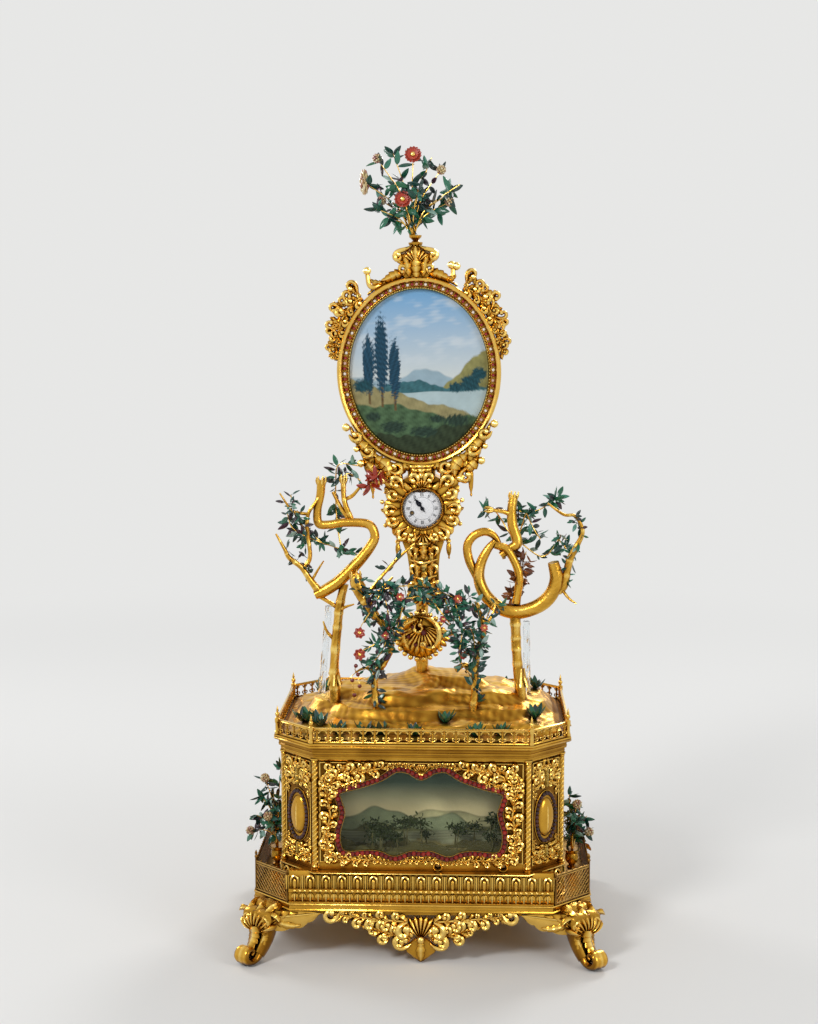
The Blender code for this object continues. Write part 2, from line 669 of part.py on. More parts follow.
def tree_left():
    """Bent gilt tree: trunk, thick folded limb, upright twigs and a spray of twigs to the left."""
    return piece("tree_left", fused([
        limb([(-98, SOCKET_FOOT), (-98, 266), (-98.7, 300), (-95, 345), (-92, 371), (-87, 393)],
             (6.4, 6.2, 5.2, 5, 5, 4.6), -34),
        limb([(-119, 381), (-108, 386), (-92, 397), (-72, 417), (-58, 435), (-53.5, 447), (-61, 459),
              (-86, 460.5), (-104, 458), (-115, 459.5), (-116.4, 474), (-113, 491), (-112, 507)],
             (5, 6.6, 6.6, 6.2, 5.6, 5, 5, 4.8, 4.8, 4.8, 4.6, 4.6, 5), (-38, -30)),
        limb([(-78, 461), (-85, 477), (-88, 491), (-88, 508)], (3.2, 3, 2.8, 2.8), (-32, -26)),
        limb([(-87, 485), (-78, 490), (-70, 499)], (2.2, 2, 1.6), (-28, -34)),
        limb([(-79, 460), (-90, 475), (-100, 493)], (2.6, 2.4, 1.8), (-32, -24)),
        limb([(-113, 383), (-123, 397), (-133, 412), (-146, 423), (-151, 433), (-160, 450)],
             (4.5, 3.6, 3, 2.6, 2, 1), (-38, -50)),
        limb([(-131, 411), (-124, 424), (-127, 453), (-126, 470), (-118, 483), (-113, 490)],
             (2.6, 2.4, 2.2, 2, 1.8, 1.8), (-42, -33)),
        limb([(-126, 470), (-137, 472), (-145, 477), (-156, 494)], (1.8, 1.6, 1.4, 0.8), (-37, -46)),
        limb([(-123, 396), (-115, 410), (-108, 421)], (1.6, 1.3, 0.8), (-40, -54)),
        limb([(-94, 366), (-104, 373), (-118, 382)], (2.4, 2.2, 2.4), (-34, -38)),
        limb([(-95, 362), (-86, 368), (-76, 372)], (2, 1.6, 0.9), (-34, -44))]), GILT, 50)


def tree_right():
    """Curled gilt tree: trunk, open ring of a limb, a smaller curl, an upright and a hooked twig."""
    ring = [(141, 419), (144.5, 401), (139, 383), (125, 370), (104.5, 363), (83.5, 367), (68, 380.5),
            (60.5, 398), (62.5, 416), (70, 431), (78, 440)]
    return piece("tree_right", fused([
        limb([(107, SOCKET_FOOT), (107, 268), (102.5, 310), (101, 334), (100, 362)],
             (6.4, 6.2, 5.4, 5.4, 6), -34),
        limb(ring, (5.6, 6.6, 6.8, 6.8, 6.8, 6.6, 6.4, 6, 5.4, 4.4, 3.6), (-40, -26)),
        limb([(66, 385), (56, 405), (49.5, 419), (47.5, 434), (54, 445), (66, 450), (77, 445), (84, 432),
              (88, 420)], (4.8, 5, 5, 4.8, 4.8, 4.6, 3.8, 2.8, 2), (-26, -22)),
        limb([(84, 424), (94, 431), (102, 438), (97, 456), (96, 474), (98, 490)],
             (4, 5, 6, 5.6, 5.4, 4.6), (-26, -18)),
        limb([(96, 468), (87, 472), (70, 475)], (2.6, 2.4, 1.8), (-20, -28)),
        limb([(78, 436), (92, 430), (104, 404), (101, 372)], (4.2, 4.6, 4.6, 5), (-27, -32)),
        limb([(140, 384), (152, 392), (156, 410), (159, 423), (166, 437), (172, 452), (168, 465),
              (162, 471), (151, 472), (134, 484)], (4, 4.8, 4.4, 4, 3.2, 2.4, 2, 1.8, 1.6, 1),
             (-36, -46)),
        limb([(150, 390), (158, 380), (166, 375)], (1.8, 1.4, 0.8), (-38, -48))]), GILT, 50)


def front_trees():
    """Two small knotted trees on the front slope of the mound."""
    piece("front_tree_left", fused([
        limb([(-50, SOCKET_FOOT), (-50.5, 262), (-52.5, 294), (-42, 311), (-34.6, 328), (-37, 345), (-50, 361),
              (-63, 380), (-71, 397), (-73, 408)], (5.2, 5, 3.6, 3.4, 3.4, 3.4, 4, 6.5, 7.4, 6), -62),
        limb([(-46, 357), (-54, 375), (-45, 391), (-33, 404)], (2.6, 2, 1.8, 1.2), (-62, -54)),
        limb([(-62, 384), (-46, 404), (-28, 424), (-9, 441)], (2.2, 2, 1.8, 1.2), (-62, -52)),
        limb([(-51, 300), (-62, 306), (-73, 302)], (1.8, 1.5, 1), (-62, -70))]), GILT, 50)
    piece("front_tree_right", fused([
        limb([(54.5, SOCKET_FOOT), (55, 262), (56.5, 282), (56.5, 306), (59.6, 326), (65, 342), (64, 359),
              (57, 375)], (5.2, 5, 4.2, 4.2, 3.8, 3.4, 3, 2.2), -62),
        limb([(56.5, 300), (46, 310), (35, 305.5)], (2.8, 2.6, 3.4), (-62, -68)),
        limb([(58, 318), (46, 326), (36, 340), (29, 354)], (2.4, 2, 1.7, 1.2), (-62, -70)),
        limb([(64, 350), (74, 362), (78, 374)], (2, 1.6, 1), (-62, -54))]), GILT, 50)


# Leaves, flowers and beads on wires
def leafy_wire(points, radius, count, seed, size=(16, 6.5)):
    """Wire through points, with leaves set at its bends that lean out to all sides."""
    chance = random.Random(seed)
    route = smooth_route([Vector(point) * MM for point in points], 2)
    shapes = [tube(route, [radius * MM, radius * 0.7 * MM], 4)]
    for index in range(count):
        place = int((index + 0.7) / count * (len(route) - 2)) + 1
        along = (route[place] - route[place - 1]).normalized()
        turn = chance.uniform(0, tau)
        out = Vector((cos(turn), 0.55 * sin(turn + 1), sin(turn)))
        direction = (out + along * 0.5).normalized()
        facing = Vector((chance.uniform(-0.5, 0.5), -1, chance.uniform(-0.6, 0.6)))
        length = size[0] * chance.uniform(0.8, 1.15)
        shapes.append(leaf(route[place] - direction * 0.4 * MM, direction, length * MM, size[1] * MM, facing))
    return shapes


def tree_leaves():
    piece("leaves_left", fused([
        *leafy_wire([(-72, -28, 418), (-76, -16, 424), (-92, -12, 428), (-114, -14, 436), (-136, -22, 446)],
                    0.9, 6, 3),
        *leafy_wire([(-92, -12, 428), (-97, -8, 460), (-98, -8, 500), (-94, -12, 522), (-72, -14, 521)],
                    0.9, 5, 5),
        *leafy_wire([(-114, -14, 436), (-140, -18, 462), (-146, -26, 490)], 0.8, 3, 8, (14, 6))]), LEAF)
    piece("leaves_right", fused([
        *leafy_wire([(97, -12.3, 474), (112, -8, 470), (128, -12, 474), (146, -20, 488)], 0.9, 5, 11),
        *leafy_wire([(112, -8, 470), (100, -2, 440), (78, -4, 470), (62, -10, 470)], 0.9, 4, 14),
        *leafy_wire([(100, -2, 440), (130, -4, 420), (148, -12, 440), (150, -16, 446)], 0.9, 4, 17)]), LEAF)
    piece("leaves_centre", fused([
        *leafy_wire([(-64, -70.4, 384), (-44, -71.5, 392), (-20, -73, 384), (6, -73, 388), (30, -72, 382),
                     (51, -67, 374)], 1.0, 10, 21),
        *leafy_wire([(-20, -73, 384), (-24, -72, 366), (-40, -74, 342), (-58, -74, 330)], 0.9, 5, 23)]), LEAF)


def glass_rod(name, ends):
    """Plain rod in place of the twisted one; its origin is its lower end, on its own axis."""
    low_end, high_end = ends
    reach = high_end - low_end
    slope = reach.normalized()
    radius = ROD_RADIUS
    rod = tube([-slope * 12 * MM, reach], [radius, radius], 8)
    return piece(name, rod, CLEAR, at=low_end)


# Pendulum
def pendulum():
    """Eye, rod and shell bob with a beaded edge; the origin is on the pivot."""
    eye = turned(scaled_points([(1.7, -2), (3.8, -2), (3.8, 2), (1.7, 2)]), 10, True, FRONT)
    rod = box((-1.2 * MM, -1.2 * MM, -BOB_DROP + 10 * MM), (1.2 * MM, 1.2 * MM, -3 * MM))
    edge = []
    for index in range(BOB_BEADS):
        for step, out in ((-0.32, 0), (-0.12, 2.5), (0.12, 2.5), (0.32, 0)):
            turn = tau * (index + step) / BOB_BEADS
            reach = BOB_RADIUS + (out - 2.5) * MM
            edge.append((reach * cos(turn), reach * sin(turn) - BOB_DROP))
    disc = plate(edge, (), -2.5 * MM, 2.5 * MM)
    dome = turned([(r * BOB_RADIUS, h * MM) for r, h in ((0, -1), (0.8, -1), (0.8, 3), (0.45, 5.5), (0, 6))],
                  12, place=FRONT)
    return piece("pendulum", fused([disc, shifted(dome, z=-BOB_DROP), rod, eye]), GILT, at=PENDULUM_PIVOT)


# Clock case and everything that hangs on the leaning waist
CASE_HALF = [(0, 107.5), (15, 107.5), (15, 99), (27, 92), (34, 74), (34, 54), (27, 38), (18, 12),
             (16, -4), (16, -28), (0, -28)]
CAVITY_HALF = [(0, 94), (12, 94), (24.5, 89), (31, 73), (31, 55), (24, 40), (15, 28), (0, 28)]
ORNAMENT_OUTER = [(76, 166), (82, 163), (85, 155), (80, 148), (76, 149), (74, 139), (77, 133), (70, 125),
                  (71, 117), (64, 112), (56, 116), (48, 108), (40, 101), (30, 103), (25, 97), (31, 93),
                  (41, 97), (48, 91), (45, 82), (49, 73), (45, 62), (47, 52), (39, 43), (38, 33), (32, 26),
                  (33, 18), (25, 12), (19, 3), (18, -22), (26, -27), (24, -36), (12, -40), (0, -41)]
ORNAMENT_HOLES = [(63, 131, 5), (38, 84, 3), (36, 46, 3)]
CREST_OUTER = [(0, 353), (7, 353), (7, 347), (13, 341), (21, 339), (22, 332), (14, 331), (12, 322), (24, 320),
               (33, 318.5), (37, 326), (43, 331), (48, 326), (46, 317), (54, 314), (60, 319), (68, 318),
               (70, 310), (76, 306), (84, 305), (86, 297), (84, 290), (90, 286), (92, 277), (89, 270),
               (94, 263), (94, 255), (90, 250), (96, 245), (93, 239)]
CREST_HOLES = [(0, 327, 4), (60, 311, 2.6), (77, 297, 2.6), (86, 276, 2)]
COVER_HINGE = Vector((37, 16.4, 64)) * MM
BEZEL_HINGE = Vector((26.4, -21.4, 64)) * MM


def arc_points(half_x, half_z, height, start, end, count):
    """Points in millimetres of an oval arc between two angles in degrees."""
    angles = [radians(start + (end - start) * i / count) for i in range(count + 1)]
    return [(half_x * cos(a) if abs(cos(a)) > 1e-9 else 0, height + half_z * sin(a)) for a in angles]


def mirrored_circles(holes):
    return [circle(side * x * MM, z * MM, radius * MM, 6)
            for x, z, radius in holes for side in ((1, -1) if x else (1,))]


def clock_case(lean):
    """Waisted case, open at the back, with a slot for the pendulum and holes for the arbors."""
    case = plate(both_sides(CASE_HALF), (), -14 * MM, 14 * MM)
    cavity = plate(both_sides(CAVITY_HALF), (), -11 * MM, 20 * MM)
    slot = box((-13 * MM, -9.5 * MM, -40 * MM), (13 * MM, 0.8 * MM, 32 * MM))
    hands_hole = bar_cutter(3.4 * MM, (0, -20 * MM, DIAL_HEIGHT))
    winding_hole = bar_cutter(2.8 * MM, (WINDING_X, -20 * MM, WINDING_HEIGHT))
    for cutter in (hands_hole, winding_hole):
        shifted(cutter, y=-12 * MM)
    piece("clock_case", cut(case, [cavity, slot, hands_hole, winding_hole]), GILT, parent=lean)
    inner = arc_points(86, 100, OVAL_HEIGHT / MM, -90, -30, 6)[:-1]
    ornament = plate(both_sides(inner + ORNAMENT_OUTER),
                     [circle(0, DIAL_HEIGHT, 22 * MM, 20), *mirrored_circles(ORNAMENT_HOLES)],
                     -19 * MM, -15 * MM)
    piece("case_ornament", ornament, GILT, parent=lean)
    cover = plate(offset(both_sides(CAVITY_HALF), 1.8 * MM), (), 14.3 * MM, 16.3 * MM)
    knuckle = turned(scaled_points([(0, -14), (1.8, -14), (1.8, 14), (0, 14)]), 8)
    strap = box((30 * MM, 14.6 * MM, 54 * MM), (COVER_HINGE.x, 16.3 * MM, 74 * MM))
    back = fused([cover, shifted(knuckle, *COVER_HINGE), strap])
    piece("back_cover", shifted(back, *-COVER_HINGE), BRASS, parent=lean, at=COVER_HINGE)


def dial_and_hands(lean):
    centre = Vector((0, 0, DIAL_HEIGHT))
    face = plate(circle(0, 0, DIAL_RADIUS, 24),
                 [circle(0, 0, 2.3 * MM, 8), circle(WINDING_X, WINDING_HEIGHT - DIAL_HEIGHT, 2.6 * MM, 8)],
                 -18.6 * MM, -17.2 * MM)
    piece("dial", face, ENAMEL, parent=lean, at=centre)
    hour = [(-0.9, 2.2), (-2.6, 6), (-1, 8.5), (-0.8, 10), (0, 12.5), (0.8, 10), (1, 8.5), (2.6, 6), (0.9, 2.2)]
    ring = turned(scaled_points([(1.6, 18.95), (3, 18.95), (3, 19.8), (1.6, 19.8)]), 10, True, FRONT)
    blade = plate(scaled_points(hour), (), -19.7 * MM, -19.1 * MM)
    piece("hour_hand", moved(fused([blade, ring]), Matrix.Rotation(-HOUR_TURN, 4, "Y")), STEEL,
          parent=lean, at=centre)
    minute = [(-0.8, -6), (-0.9, 0), (-2, 7), (-0.8, 9), (-0.8, 12), (0, 17.5), (0.8, 12), (0.8, 9), (2, 7),
              (0.9, 0), (0.8, -6)]
    blade = plate(scaled_points(minute), (), -20.6 * MM, -20 * MM)
    arbor = turned(scaled_points([(0, -8), (1.1, -8), (1.1, 20.8), (0, 20.8)]), 8, place=FRONT)
    piece("minute_hand", moved(fused([blade, arbor]), Matrix.Rotation(-MINUTE_TURN, 4, "Y")), STEEL,
          parent=lean, at=centre)
    section = scaled_points([(22.4, 19.5), (25, 19.5), (25.2, 21.5), (24, 23.4), (22.6, 22.4)])
    ring = turned(section, 24, True, FRONT)
    knuckle = turned(scaled_points([(0, -3), (1.6, -3), (1.6, 3), (0, 3)]), 6)
    bezel = fused([shifted(ring, z=DIAL_HEIGHT), shifted(knuckle, *BEZEL_HINGE)])
    item = piece("dial_bezel", shifted(bezel, *-BEZEL_HINGE), GILT, parent=lean, at=BEZEL_HINGE)
    glass = turned(scaled_points([(0, 21), (21.8, 21), (21.8, 21.8), (0, 22.4)]), 24, place=FRONT)
    piece("dial_glass", shifted(glass, z=DIAL_HEIGHT - BEZEL_HINGE.z, x=-BEZEL_HINGE.x, y=-BEZEL_HINGE.y),
          CLEAR, parent=item)


def clock_movement(lean):
    """Two plates on four pillars with the pendulum's stud, the mainspring barrel and the escape wheel."""
    holes = [circle(0, DIAL_HEIGHT, 1.6 * MM, 8), circle(WINDING_X, WINDING_HEIGHT, 2.1 * MM, 8)]
    outline = scaled_points([(-22, 43), (-22, 86), (22, 86), (22, 43), (5, 43), (5, 30), (-8, 30), (-8, 43)])
    front = plate(outline, holes, -10.4 * MM, -8.9 * MM)
    back = plate(scaled_points([(-22, 43), (-22, 86), (22, 86), (22, 43)]), (), 10 * MM, 11.5 * MM)
    pillars = [tube([(x, -9.5 * MM, z), (x, 11 * MM, z)], [1.8 * MM] * 2)
               for x in (-19 * MM, 19 * MM) for z in (46 * MM, 83 * MM)]
    pivot = lean.matrix_world.inverted() @ PENDULUM_PIVOT
    stud = tube([(pivot.x, -9.5 * MM, pivot.z), (pivot.x, -2.2 * MM, pivot.z)], [1.3 * MM] * 2)
    piece("clock_movement_frame", fused([front, back, *pillars, stud]), BRASS, parent=lean)
    barrel = turned(scaled_points([(0, -9.6), (1.6, -9.6), (1.6, -7), (9.5, -7), (9.5, 8), (1.7, 8), (1.7, 18.8),
                                   (0, 18.8)]), 12, place=FRONT)
    piece("clock_barrel", barrel, BRASS, parent=lean, at=(WINDING_X, 0, WINDING_HEIGHT))
    teeth = 15
    radii = (7 * MM, 8.6 * MM)
    rim = [(radii[k % 2] * cos(pi * k / teeth), radii[k % 2] * sin(pi * k / teeth)) for k in range(2 * teeth)]
    wheel = plate(rim, (), 1 * MM, 2.4 * MM)
    arbor = tube([(0, -8.5 * MM, 0), (0, 9.6 * MM, 0)], [0.9 * MM] * 2)
    piece("escape_wheel", fused([wheel, arbor]), BRASS, parent=lean, at=(10.5 * MM, 0, 72.5 * MM))


def oval_picture(lean):
    """Dished oval frame with a lug behind the case, its ring of stones, cresting and painted panel."""
    steps = [(84, 98, 10), (90, 104, 6), (90, 104, -7), (88, 102, -10), (85.6, 99.6, -9), (85.4, 99.4, -4),
             (78.8, 92.8, -4), (78, 92, -6.5), (76.4, 90.4, -5), (76.4, 90.4, 3.2)]
    dish = stacked([ellipse(a * MM, b * MM, depth * MM, OVAL_SIDES, OVAL_HEIGHT) for a, b, depth in steps])
    lug = box((-11 * MM, 9 * MM, 118 * MM), (11 * MM, 17.8 * MM, 134 * MM))
    tongue = box((-9 * MM, 14.3 * MM, 98 * MM), (9 * MM, 17.8 * MM, 121 * MM))
    piece("oval_frame", fused([dish, lug, tongue]), GILT, parent=lean)
    rim = [ellipse(a * MM, b * MM, depth * MM, OVAL_SIDES, OVAL_HEIGHT)
           for a, b, depth in ((84.9, 98.9, -4.3), (84.9, 98.9, -7), (79.3, 93.3, -7), (79.3, 93.3, -4.3))]
    piece("stone_ring", stacked(rim, closed=True), PASTE, parent=lean)
    panel = stacked([ellipse(*PAINTING, depth * MM, OVAL_SIDES, OVAL_HEIGHT) for depth in (2.8, -0.6)])
    piece("painting_panel", panel, PICTURE, parent=lean)
    inner = arc_points(91, 105, OVAL_HEIGHT / MM, 13, 90, 9)
    crest = plate(both_sides(CREST_OUTER + inner), mirrored_circles(CREST_HOLES), -5 * MM, 4 * MM)
    piece("frame_scrollwork", crest, GILT, parent=lean)


# Bouquets
def bouquet(base, tips, seed, size, bulge):
    """Stems that arch from one point; a tip ends in a flower, a cluster of beads or only leaves."""
    chance = random.Random(seed)
    shapes = []
    for x, y, z, kind in tips:
        tip = Vector((x, y, z))
        elbow = Vector(base) + (tip - Vector(base)) * 0.55 + Vector((-(tip.x - base[0]) * 0.12, 0, bulge))
        route = smooth_route([Vector(point) * MM for point in (base, elbow, tip)], 2)
        shapes.append(tube(route, [1.3 * MM, 0.8 * MM], 4))
        for root in route[-2:]:
            turn = chance.uniform(0, tau)
            direction = Vector((cos(turn), 0.7 * sin(2 * turn), sin(turn))).normalized()
            facing = Vector((chance.uniform(-0.5, 0.5), -1, chance.uniform(-0.5, 0.5)))
            shapes.append(leaf(root - direction * 0.4 * MM, direction, size * MM, size * 0.42 * MM, facing))
        if kind == "flower":
            shapes.append(rosette(tip * MM, 9 * MM, (0.1, -1, 0.25)))
        elif kind == "beads":
            shapes.append(ball(tip * MM, 4.6 * MM))
    return shapes


TOP_BASE = (-3.5, 0, 358)
TOP_TIPS = [(-8, -6, 399, "flower"), (0, 2, 447, "flower"), (-52, 4, 424, "beads"), (-39, -6, 444, "beads"),
            (-38, 8, 402, "beads"), (31, -4, 428, "beads"), (46, 6, 410, "leaves"), (26, 14, 386, "leaves"),
            (-14, 22, 424, "leaves"), (10, -20, 422, "leaves")]
LEFT_TIPS = [(-180, -6, 166, "beads"), (-176, -14, 124, "beads"), (-198, 2, 102, "beads"),
             (-163, 8, 178, "leaves"), (-186, 6, 142, "leaves")]
RIGHT_TIPS = [(172, -8, 140, "beads"), (186, -2, 106, "beads"), (163, 4, 148, "leaves"),
              (184, 6, 122, "leaves")]
POT = [(0, 64.4), (5.5, 64.4), (4, 68), (7.5, 74), (8, 81), (9, 85.5), (0, 85.5)]
POT_X = 167


def top_bouquet(lean):
    cup = turned(scaled_points([(0, 353.4), (4.5, 353.4), (3, 356), (6.5, 359), (7, 361), (0, 361)]), 8)
    stems = bouquet(TOP_BASE, TOP_TIPS, 31, 15, 3)
    collar = shifted(turned(scaled_points([(0, 360), (2.4, 360), (2, 371), (0, 371)]), 6), x=-1.5 * MM)
    piece("top_bouquet", fused([cup, collar, *stems]), LEAF, parent=lean)


def side_bouquet(name, side, tips, seed):
    pot = shifted(turned(scaled_points(POT), 8), x=side * POT_X * MM)
    stems = bouquet((side * POT_X, 0, 83), tips, seed, 17, 9)
    piece(name, fused([pot, *stems]), LEAF)


# Base movement
FRAME_LOW = PLINTH_BOTTOM + 6 * MM + GAP
CYLINDER = Vector((50, 28, 100)) * MM
BELLS = Vector((50, 28, 160)) * MM
BRACKETS = (-20 * MM, 120 * MM)


def base_movement():
    """Two plates on pillars, with brackets behind that carry the pinned cylinder and the bells."""
    sheet = [(-25, FRAME_LOW / MM), (-25, 150), (125, 150), (125, FRAME_LOW / MM)]
    holes = [circle(x, ARBOR_HEIGHT, 2.8 * MM, 8) for x in (MUSIC_X, AUTOMATON_X)]
    front = plate(scaled_points(sheet), holes, -62 * MM, -59 * MM)
    back = plate(scaled_points(sheet), (), -12 * MM, -9 * MM)
    pillars = [tube([(x, -60 * MM, z), (x, -11 * MM, z)], [3 * MM] * 2)
               for x in (-18 * MM, 118 * MM) for z in (76 * MM, 142 * MM)]
    parts = [front, back, *pillars]
    for x, turn in zip(BRACKETS, (-1, 1)):
        arm = box((x - 1.5 * MM, -10 * MM, FRAME_LOW), (x + 1.5 * MM, 46 * MM, 178 * MM))
        hole = turned([(0, -5 * MM), (2.6 * MM, -5 * MM), (2.6 * MM, 5 * MM), (0, 5 * MM)], 8,
                      place=Matrix.Rotation(pi / 2, 4, "Y"))
        parts.append(cut(arm, [shifted(hole, x, CYLINDER.y, CYLINDER.z)]))
    piece("base_movement_frame", fused(parts), BRASS)

    for name, x in (("music_barrel", MUSIC_X), ("automaton_barrel", AUTOMATON_X)):
        profile = scaled_points([(0, -22), (20, -22), (20, 22), (2.3, 22), (2.3, 79), (0, 79)])
        piece(name, turned(profile, 16, place=FRONT), BRASS, at=(x, -35 * MM, ARBOR_HEIGHT))

    half = (BRACKETS[1] - BRACKETS[0]) / 2 / MM
    along_x = Matrix.Rotation(pi / 2, 4, "Y")
    drum = scaled_points([(0, -half - 1), (2, -half - 1), (2, 3 - half), (15, 3 - half), (15, half - 3),
                          (2, half - 3), (2, half + 1), (0, half + 1)])
    piece("music_cylinder", turned(drum, 16, place=along_x), BRASS, at=CYLINDER)
    profile = [(0, -half + 2)]
    for index in range(4):
        start, radius = -half + 2 + index * 34, 24 - 3 * index
        profile += [(2.5, start), (2.5, start + 8), (radius, start + 9), (radius, start + 21), (2.5, start + 24)]
    profile += [(2.5, half - 2), (0, half - 2)]
    piece("bell_stack", turned(scaled_points(profile), 10, place=along_x), BRASS, at=BELLS)


# Assembly
for side_y, end in ((-1, "front"), (1, "back")):
    for side_x, hand_side in ((-1, "left"), (1, "right")):
        foot(f"foot_{end}_{hand_side}", side_x, side_y)

front_face = PLINTH_PLAN[1] - 2 * MM
side_face = PLINTH_PLAN[0] - 2 * MM
apron("apron_front", APRON_REACH, Matrix.Translation((0, -front_face, 0)))
apron("apron_back", APRON_REACH, Matrix.Rotation(pi, 4, "Z") @ Matrix.Translation((0, -front_face, 0)))
for name, turn in (("apron_left", -pi / 2), ("apron_right", pi / 2)):
    apron(name, 54 * MM, Matrix.Rotation(turn, 4, "Z") @ Matrix.Translation((0, -side_face, 0)))

plinth()
cabinet()
window()
window_scene()
for index, name in enumerate(("front_right", "back_right", "back_left", "front_left")):
    corner_panel(f"corner_panel_{name}", pi / 4 + index * pi / 2)
rear_door()
platform()
gallery()
lower_gallery("lower_gallery_left", -1)
lower_gallery("lower_gallery_right", 1)
mound()
tree_left()
tree_right()
front_trees()
tree_leaves()
glass_rod("glass_rod_left", ROD_LEFT)
glass_rod("glass_rod_right", ROD_RIGHT)

post_top = WAIST.z - 28.7 * MM
post = turned([(0, 0), (POST_RADIUS, 0), (POST_RADIUS, post_top - DECK - 2 * GAP), (0, post_top - DECK - 2 * GAP)], 12)
piece("support_column", shifted(post, POST.x, POST.y, DECK + 2 * GAP), GILT)
pendulum()

waist = bpy.data.objects.new("leaning_waist", None)
bpy.context.scene.collection.objects.link(waist)
waist.location = WAIST
waist.rotation_euler = (0, -LEAN, 0)
bpy.context.view_layer.update()
clock_case(waist)
dial_and_hands(waist)
clock_movement(waist)
oval_picture(waist)
top_bouquet(waist)
side_bouquet("side_bouquet_left", -1, LEFT_TIPS, 41)
side_bouquet("side_bouquet_right", 1, RIGHT_TIPS, 43)
base_movement()
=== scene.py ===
"""Looks of the gilt bronze automaton table clock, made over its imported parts.

Metres, +Z up, front towards -Y. Lists of places are in millimetres and are scaled by MM.
Shapes are numpy surfaces: a profile is carried along a path, or a grid of two parameters is
worked out as whole arrays. Pieces above the waist are modelled upright on it and then leaned.
"""

from math import cos, pi, radians, sin, tau

import bpy
import numpy as np
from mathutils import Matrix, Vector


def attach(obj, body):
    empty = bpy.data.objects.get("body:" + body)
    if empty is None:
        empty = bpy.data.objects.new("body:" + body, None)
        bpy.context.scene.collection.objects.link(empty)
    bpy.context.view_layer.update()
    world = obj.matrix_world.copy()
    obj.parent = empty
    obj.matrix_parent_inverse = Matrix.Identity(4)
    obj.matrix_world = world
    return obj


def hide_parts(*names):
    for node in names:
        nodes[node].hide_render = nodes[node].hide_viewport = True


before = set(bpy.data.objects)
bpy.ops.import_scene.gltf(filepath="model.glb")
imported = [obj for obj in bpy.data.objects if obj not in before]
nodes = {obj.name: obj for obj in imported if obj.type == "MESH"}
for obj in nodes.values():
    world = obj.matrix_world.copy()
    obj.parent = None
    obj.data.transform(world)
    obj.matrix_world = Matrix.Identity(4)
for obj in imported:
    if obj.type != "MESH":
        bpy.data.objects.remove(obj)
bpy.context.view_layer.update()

# Driving dimensions, the same as the part's where it has them
MM = 0.001
PLINTH_TOP = 97.5
CABINET_TOP = 219.4
DECK = 237.1
PLINTH_PLAN = (182, 132, 42)
CABINET_PLAN = (149.5, 118, 36.4)
GALLERY_PLAN = (157.3, 126, 40.7)
WAIST = (-0.4, 0, 410.6)
LEAN = radians(1.6)
DIAL_HEIGHT = 64
DIAL_RADIUS = 20.8
OVAL_HEIGHT = 213
PAINTING = (75.9, 89.9)
OVAL_RING = (90, 104)
STONE_RING = (81.4, 95.4)
BEAD_RING = (77.4, 91.4)
WINDOW_MIDDLE = 160
APRON_HALF = 108
POT_PLACE = 167
KEY_HOLES = (17.7, 87.3)
TREE_DEPTH = -34
FRONT_TREE_DEPTH = -62
FRONT = (0, -1, 0)
BODY = "clock"


# Forms: points and faces as arrays, with a tone from 0 to 1 at each point
class Form:
    """One or more closed surfaces: points, a list of face arrays, and a tone at each point."""

    def __init__(self, points, faces, tone=0.5):
        """Arrays of numbers from lists; one tone is spread over all points."""
        self.points = np.asarray(points, float)
        self.faces = [np.asarray(group, int) for group in faces if len(group)]
        self.tone = np.broadcast_to(np.asarray(tone, float), len(self.points)).copy()

    def volume(self):
        """Signed volume: the sum of the triple products of each face's fan of triangles."""
        total = 0.0
        for group in self.faces:
            corners = self.points[group]
            for k in range(1, group.shape[1] - 1):
                total += np.einsum("ij,ij->", corners[:, 0], np.cross(corners[:, k], corners[:, k + 1])) / 6
        return total

    def outward(self):
        """The same form with its faces turned out."""
        if self.volume() < 0:
            self.faces = [group[:, ::-1] for group in self.faces]
        return self

    def placed(self, turn=None, shift=(0, 0, 0), scale=1.0):
        """Copy scaled, then turned by a 3 by 3 matrix, then shifted."""
        points = self.points * np.asarray(scale, float)
        if turn is not None:
            points = points @ np.asarray(turn).T
        return Form(points + np.asarray(shift, float), self.faces, self.tone).outward()

    def flipped(self):
        """Mirror image, left for right."""
        return self.placed(scale=(-1, 1, 1))

    def toned(self, tone):
        """The same surfaces with another tone."""
        return Form(self.points, self.faces, tone)


def together(forms):
    """One form of many: arrays end to end, face numbers counted on."""
    starts = np.cumsum([0] + [len(form.points) for form in forms])
    faces = [group + start for form, start in zip(forms, starts) for group in form.faces]
    return Form(np.vstack([form.points for form in forms]), faces,
                np.concatenate([form.tone for form in forms]))


def copies(form, places, turns=None, sizes=1.0, tones=None):
    """Many copies at once: points times size, turned by each matrix, moved to each place."""
    places = np.asarray(places, float).reshape(-1, 3)
    count, length = len(places), len(form.points)
    sizes = (np.broadcast_to(np.asarray(sizes, float), count) if np.ndim(sizes) < 2
             else np.asarray(sizes, float))
    scaled = form.points[None] * (sizes[:, None, None] if sizes.ndim == 1 else sizes[:, None, :])
    if turns is not None:
        scaled = np.einsum("nij,nkj->nki", np.broadcast_to(turns, (count, 3, 3)), scaled)
    points = (scaled + places[:, None]).reshape(-1, 3)
    steps = (np.arange(count) * length)[:, None, None]
    faces = [(group[None] + steps).reshape(-1, group.shape[1]) for group in form.faces]
    tone = np.tile(form.tone, count) if tones is None else np.repeat(tones, length)
    return Form(points, faces, tone)


def unit(vectors):
    """Each vector over its own length."""
    return vectors / np.maximum(np.linalg.norm(vectors, axis=-1, keepdims=True), 1e-9)


def full_turn(count):
    """Even angles round a circle."""
    return np.linspace(0, tau, count, endpoint=False)


def on_oval(turn, half_x, half_z, height=0.0):
    """(x, z) points of an upright oval: half axes times the cosine and the sine of each angle."""
    return np.stack([half_x * np.cos(turn), height + half_z * np.sin(turn)], -1)


